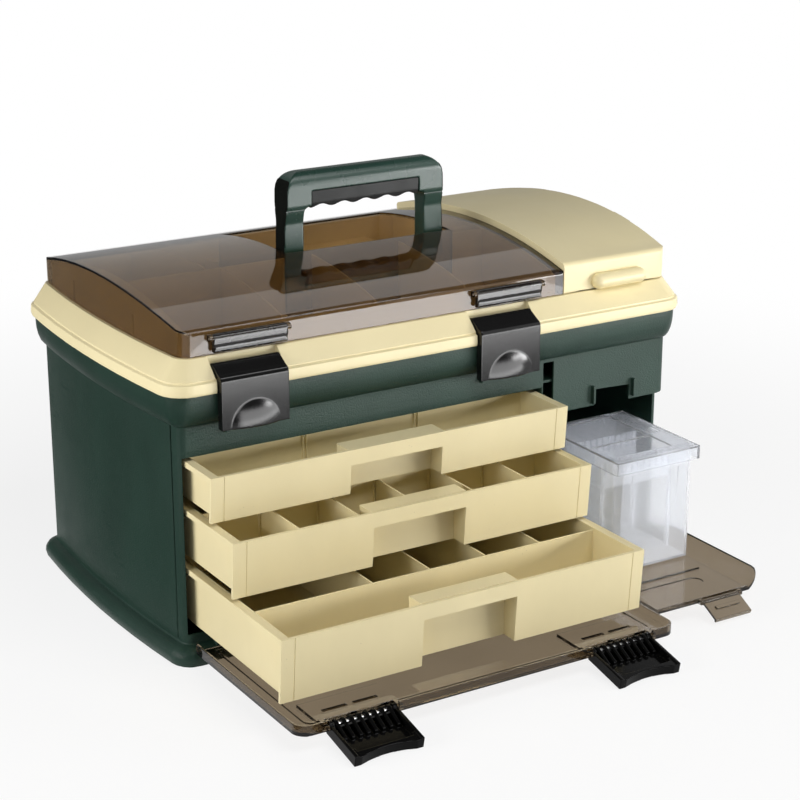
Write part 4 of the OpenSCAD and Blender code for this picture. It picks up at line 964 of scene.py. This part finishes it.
@dataclass
class HandleArch(SoftMoulding):
    """The green arch, with a parting groove across each leg and painted shade on its outer sides."""

    middle: float = 6.0
    leg: Triple = (60.0, 86.0, 340.2)
    faces: tuple[float, float] = (-9.0, 13.0)
    depth: float = 1.1
    groove_half: float = 0.6
    overrun: float = 4.0
    cap_from: float = 68.0
    cap_facing: float = 0.8
    cap_skin: float = 0.5

    def shape(self, obj: bpy.types.Object) -> None:
        """Melt the edges, then cut the parting grooves."""
        super().shape(obj)
        inner, outer, level = self.leg
        front, back = self.faces
        cuts = ((front - self.overrun, front + self.depth), (back - self.depth, back + self.overrun))
        for side in (-1, 1):
            x0, x1 = sorted((self.middle + side * inner, self.middle + side * outer))
            for y0, y1 in cuts:
                low, high = (x0, y0, level - self.groove_half), (x1, y1, level + self.groove_half)
                cut_away(obj, block("Groove", low, high))

    def caps(self, arch: bpy.types.Object) -> bpy.types.Object:
        """Lay thin black sheets on the outer sides of the arch as painted shade, standing for the shade that
        falls on those sides.

        Args:
            arch: The finished arch.

        Returns:
            Both painted shade sheets as one piece.
        """
        # The outward side faces become a black skin: painted shade on the arch's outer sides.
        obj = bpy.data.objects.new("handle_side_painted_shade", arch.data.copy())
        bpy.context.scene.collection.objects.link(obj)
        only(obj)
        bpy.ops.object.mode_set(mode="EDIT")
        bpy.ops.mesh.select_mode(type="FACE")
        bpy.ops.mesh.select_all(action="DESELECT")
        bpy.ops.object.mode_set(mode="OBJECT")
        for face in obj.data.polygons:
            reach = face.center.x / MM - self.middle
            outward = face.normal.x * reach > self.cap_facing * abs(reach)
            face.select = not (abs(reach) > self.cap_from and outward)
        bpy.ops.object.mode_set(mode="EDIT")
        bpy.ops.mesh.delete(type="FACE")
        bpy.ops.object.mode_set(mode="OBJECT")
        skin = obj.modifiers.new("Skin", "SOLIDIFY")
        skin.thickness = self.cap_skin * MM
        skin.offset = 1.0
        bpy.ops.object.modifier_apply(modifier=skin.name)
        shade(obj)
        return dress(obj, "handle", FINISH.side_shade)


@dataclass
class Handle:
    """The folding handle and its soft grip."""

    def build(self) -> None:
        """Build the arch, the painted shade sheets on its sides and the grip."""
        arch = HandleArch("handle_arch", FINISH.handle, "handle_green", voxel=0.0007, passes=14)
        arch.caps(arch.build())
        SoftMoulding("handle_grip", FINISH.rubber, "black", voxel=0.0006, passes=6).build()


@dataclass
class LidLatch(SoftMoulding):
    """A lid latch whose plate runs flat up to a rounded top, with cheeks behind it."""

    middle: float = 0.0
    half: float = 31.0
    near: float = 0.2
    cheek_t: float = 3.0
    cheek_y: Pair = (-159.5, -152.6)
    cheek_z: Pair = (207.0, 246.0)
    moves: tuple[tuple[float, float, float, float], ...] = (
        (-160.5, 242.0, 0.0, 7.0), (-158.3, 249.0, -0.9, 3.0), (-152.0, 256.0, -3.0, -2.2),
    )

    def shape(self, obj: bpy.types.Object) -> None:
        """Straighten the plate, add the cheeks and melt the edges."""
        for y, z, along, up in self.moves:
            nudge(obj, lambda co: abs(co.y - y) < self.near and abs(co.z - z) < self.near, (0.0, along, up))
        cheeks = []
        for side in (-1, 1):
            x0, x1 = sorted(self.middle + side * reach for reach in (self.half, self.half - self.cheek_t))
            (y0, y1), (z0, z1) = self.cheek_y, self.cheek_z
            cheeks.append(block("Cheek", (x0, y0, z0), (x1, y1, z1)))
        joined(obj, cheeks)
        super().shape(obj)


@dataclass
class Latches:
    """The black latches of the lid and of the front door."""

    middles: tuple[tuple[str, float], ...] = (("left", -188.0), ("right", 63.0))

    def build(self) -> None:
        """Build the four black latches."""
        for side, middle in self.middles:
            plate = LidLatch(f"lid_latch_{side}", FINISH.black, "black", voxel=0.0005, passes=12, middle=middle)
            plate.build()
            SoftMoulding(f"door_latch_{side}", FINISH.gloss, "black", voxel=0.0004, passes=5).build()


@dataclass
class Doors:
    """The smoke doors that lie open in front of the box."""

    def build(self) -> None:
        """Build both doors and the small catch."""
        for node in ("front_door", "side_door", "side_door_latch"):
            Moulding(node, FINISH.pane, "smoke", Edge.FINE).build()


@dataclass
class Drawer(Moulding):
    """A drawer with a line near each end of its front and closed runner tops."""

    strip: float = 12.0
    line: float = 1.0
    press: float = 0.5
    near: float = 0.1
    lean: float = 0.08
    lean_near: float = 0.3
    runner_w: float = 8.0
    runner_front: float = 2.6
    wall: float = 2.0
    play: float = 0.1
    rounding: float = 0.4

    def box(self) -> tuple[Vector, Vector]:
        """The node's lowest and highest corner in millimetres."""
        low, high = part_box(self.node)
        return Vector(low) / MM, Vector(high) / MM

    def shape(self, obj: bpy.types.Object) -> None:
        """Press the lines into the front, then round the edges."""
        low, high = self.box()
        for place in (low.x + self.strip, high.x - self.strip):
            slice_at(obj, 0, (place - self.line / 2, place, place + self.line / 2))
            nudge(obj, lambda co: abs(co.x - place) < self.near and self.on_front(co, low, high),
                  (0.0, self.press, 0.0))
        super().shape(obj)

    def on_front(self, co: Vector, low: Vector, high: Vector) -> bool:
        """Whether a place lies on the leaning front face."""
        return abs(co.y - (low.y + self.lean * (high.z - co.z))) < self.lean_near

    def runners(self) -> bpy.types.Object:
        """Close the tops of both runners.

        Returns:
            The two runner tops as one piece.
        """
        low, high = self.box()
        tops = []
        for x0, x1 in ((low.x, low.x + self.runner_w), (high.x - self.runner_w, high.x)):
            start = (x0 + self.play, low.y + self.runner_front, high.z - self.wall - self.play)
            end = (x1 - self.play, high.y - 2 * self.play, high.z - self.play)
            tops.append(block(f"{self.node}_runner_tops", start, end))
        obj = joined(tops[0], tops[1:])
        width = self.rounding * MM
        round_edges(obj, roomy_edges(obj, width, turn=60.0), width, steps=2)
        shade(obj)
        return dress(obj, frame["nodes"][self.node]["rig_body"], self.material)


@dataclass
class Drawers:
    """Three cream drawers with their dividers."""

    rows: tuple[str, ...] = ("top", "middle", "bottom")
    divided: tuple[str, ...] = ("middle", "bottom")

    def build(self) -> None:
        """Build the drawers and the loose dividers."""
        for row in self.rows:
            drawer = Drawer(f"drawer_{row}", FINISH.drawer, "cream", Edge.FINE)
            drawer.build()
            drawer.runners()
        for row in self.divided:
            Moulding(f"{row}_dividers", FINISH.drawer, "cream", Edge.CRISP).build()


@dataclass
class HookBox:
    """The frosted hook box with its rack and lid."""

    def build(self) -> None:
        """Build the box, the rack and the lid."""
        for node in ("hook_box", "hook_rack"):
            Moulding(node, FINISH.clear, "clear", Edge.FINE).build()
        Moulding("hook_lid", FINISH.window, "clear", Edge.FINE).build()


@dataclass(frozen=True)
class Lamp:
    """A soft oblong lamp that the camera doesn't see, placed in metres."""

    name: str
    place: Triple
    target: Triple
    size: Pair
    power: float

    def add(self) -> None:
        """Hang the lamp and turn it to its target."""
        data = bpy.data.lights.new(self.name, "AREA")
        data.shape = "RECTANGLE"
        data.size, data.size_y = self.size
        data.energy = self.power
        obj = bpy.data.objects.new(self.name, data)
        bpy.context.scene.collection.objects.link(obj)
        obj.location = self.place
        aim = Vector(self.target) - Vector(self.place)
        obj.rotation_euler = aim.to_track_quat("-Z", "Y").to_euler()
        obj.visible_camera = False
        obj.visible_transmission = False


@dataclass(frozen=True)
class Card:
    """A card beside the object that only reflections see, placed in metres and turned in degrees."""

    name: str
    place: Triple
    turn: Triple
    size: Pair
    level: float
    unseen_by: tuple[str, ...] = ("camera", "diffuse", "transmission", "shadow", "volume_scatter")

    def add(self) -> None:
        """Set up the card with an even glow."""
        bpy.ops.object.select_all(action="DESELECT")
        turn = [math.radians(angle) for angle in self.turn]
        bpy.ops.mesh.primitive_plane_add(size=1.0, location=self.place, rotation=turn)
        obj = bpy.context.object
        obj.name = self.name
        obj.scale = (*self.size, 1.0)
        sheet = Sheet(self.name)
        sheet.tree.nodes.remove(sheet.shader)
        glow = sheet.tree.nodes.new("ShaderNodeEmission")
        glow.inputs["Strength"].default_value = self.level
        sheet.wire(glow.outputs[0], sheet.out.inputs["Surface"])
        obj.data.materials.append(sheet.material)
        for kind in self.unseen_by:
            setattr(obj, f"visible_{kind}", False)


@dataclass
class Studio:
    """Floor, soft lamps, cards, white surroundings and the camera."""

    lens: float = 92.92
    eye: Triple = (-0.918, -1.580, 0.762)
    fill: float = 0.05
    floor_tone: float = 0.9
    fade: Pair = (0.35, 1.1)
    near_glow: float = 0.82
    upright: Triple = (90.0, 0.0, 0.0)
    lamps: tuple[Lamp, ...] = (
        Lamp("Key right", (1.50, -1.32, 0.34), (0.05, -0.10, 0.18), (1.1, 0.34), 26.0),
        Lamp("Fill left", (-1.65, -0.10, 0.50), (-0.10, -0.10, 0.15), (1.2, 0.6), 20.0),
        Lamp("Top front", (0.20, -1.15, 1.65), (0.0, -0.10, 0.22), (1.4, 0.9), 18.0),
    )

    def build(self) -> None:
        """Set up everything round the object."""
        bpy.context.scene.view_settings.view_transform = "Standard"
        self.camera()
        self.floor()
        self.world()
        for item in (*self.lamps, *self.cards()):
            item.add()

    def cards(self) -> tuple[Card, ...]:
        """List the bright and dark cards that shape the reflections.

        Returns:
            The two reflectors, then the darker cards.
        """
        flat = (0.0, 0.0, 0.0)
        return (
            Card("Front reflector", (0.24, -0.66, 0.1005), self.upright, (0.90, 0.069), 10.0),
            Card("Handle reflector", (0.24, -0.66, 0.20), self.upright, (0.90, 0.14), 6.0),
            Card("Floor card", (-0.88, 0.42, 0.002), flat, (1.2, 1.9), 0.05),
            Card("Left card", (-1.00, 1.50, 0.55), self.upright, (1.5, 1.1), 0.05),
            Card("Side card", (-1.35, -0.55, 0.60), (0.0, 90.0, 0.0), (1.2, 1.9), 0.05),
            Card("Camera card", (-0.25, -1.28, 0.50), (90.0, 0.0, -11.0), (1.9, 1.1), 0.05),
            Card("Back card", (0.55, 1.60, 0.80), self.upright, (3.0, 1.5), 0.38),
            Card("Ceiling card", (0.0, -0.2, 1.95), flat, (3.2, 3.2), 0.1),
        )

    def camera(self) -> None:
        """Place the camera at the photograph's viewing angle."""
        data = bpy.data.cameras.new("Camera")
        data.lens = self.lens
        data.sensor_width = 36.0
        data.clip_end = 100.0
        obj = bpy.data.objects.new("Camera", data)
        bpy.context.scene.collection.objects.link(obj)
        right = (0.8534, -0.5213, 0.0)
        up = (0.1656, 0.2710, 0.9483)
        back = (-0.4943, -0.8092, 0.3176)
        turn = Matrix((right, up, back)).transposed().to_4x4()
        obj.matrix_world = Matrix.Translation(Vector(self.eye)) @ turn
        bpy.context.scene.camera = obj

    @staticmethod
    def rays(tree: bpy.types.NodeTree, *kinds: str) -> bpy.types.NodeSocket:
        """A mask that is 1 for the named kinds of ray.

        Args:
            tree: Node tree to add to.
            kinds: Outputs of the Light Path node.

        Returns:
            The socket with the mask.
        """
        path = tree.nodes.new("ShaderNodeLightPath")
        mask = path.outputs[kinds[0]]
        for kind in kinds[1:]:
            either = tree.nodes.new("ShaderNodeMath")
            either.operation = "MAXIMUM"
            tree.links.new(mask, either.inputs[0])
            tree.links.new(path.outputs[kind], either.inputs[1])
            mask = either.outputs[0]
        return mask

    def floor(self) -> None:
        """A pale floor that fades to white round the object and keeps its shadow."""
        bpy.ops.object.select_all(action="DESELECT")
        bpy.ops.mesh.primitive_plane_add(size=60.0, location=(0.0, 0.0, -0.0004))
        obj = bpy.context.object
        obj.name = "Floor"
        sheet = Sheet("Pale floor")
        tree = sheet.tree
        tree.nodes.remove(sheet.shader)
        matt = tree.nodes.new("ShaderNodeBsdfDiffuse")
        matt.inputs["Color"].default_value = (*[self.floor_tone] * 3, 1.0)
        glow = tree.nodes.new("ShaderNodeEmission")
        where = tree.nodes.new("ShaderNodeTexCoord")
        reach = tree.nodes.new("ShaderNodeVectorMath")
        reach.operation = "LENGTH"
        fade = tree.nodes.new("ShaderNodeMapRange")
        fade.interpolation_type = "SMOOTHSTEP"
        fade.inputs["From Min"].default_value = self.fade[0]
        fade.inputs["From Max"].default_value = self.fade[1]
        fade.inputs["To Min"].default_value = self.near_glow
        fade.inputs["To Max"].default_value = 1.0
        sheet.wire(where.outputs["Object"], reach.inputs[0])
        sheet.wire(reach.outputs["Value"], fade.inputs["Value"])
        share = tree.nodes.new("ShaderNodeMath")
        share.operation = "MULTIPLY"
        sheet.wire(self.rays(tree, *SEEN_RAYS), share.inputs[0])
        sheet.wire(fade.outputs["Result"], share.inputs[1])
        mix = tree.nodes.new("ShaderNodeMixShader")
        sheet.wire(share.outputs[0], mix.inputs[0])
        sheet.wire(matt.outputs[0], mix.inputs[1])
        sheet.wire(glow.outputs[0], mix.inputs[2])
        sheet.wire(mix.outputs[0], sheet.out.inputs["Surface"])
        obj.data.materials.append(sheet.material)

    def world(self) -> None:
        """White surroundings for the camera, reflections and glass, and a weaker fill for the rest."""
        world = bpy.data.worlds.new("Studio")
        bpy.context.scene.world = world
        world.use_nodes = True
        tree = world.node_tree
        ground = tree.nodes["Background"]
        ground.inputs["Color"].default_value = (1.0, 1.0, 1.0, 1.0)
        level = tree.nodes.new("ShaderNodeMapRange")
        level.inputs["To Min"].default_value = self.fill
        level.inputs["To Max"].default_value = 1.0
        seen = self.rays(tree, *SEEN_RAYS)
        tree.links.new(seen, level.inputs["Value"])
        tree.links.new(level.outputs["Result"], ground.inputs["Strength"])


def main() -> None:
    """Build the studio and each sub-assembly."""
    logging.basicConfig(level=logging.INFO, format="%(message)s")
    Studio().build()
    for assembly in (Pins(), Case(), Lid(), Handle(), Latches(), Doors(), Drawers(), HookBox()):
        assembly.build()


if __name__ == "__main__":
    main()
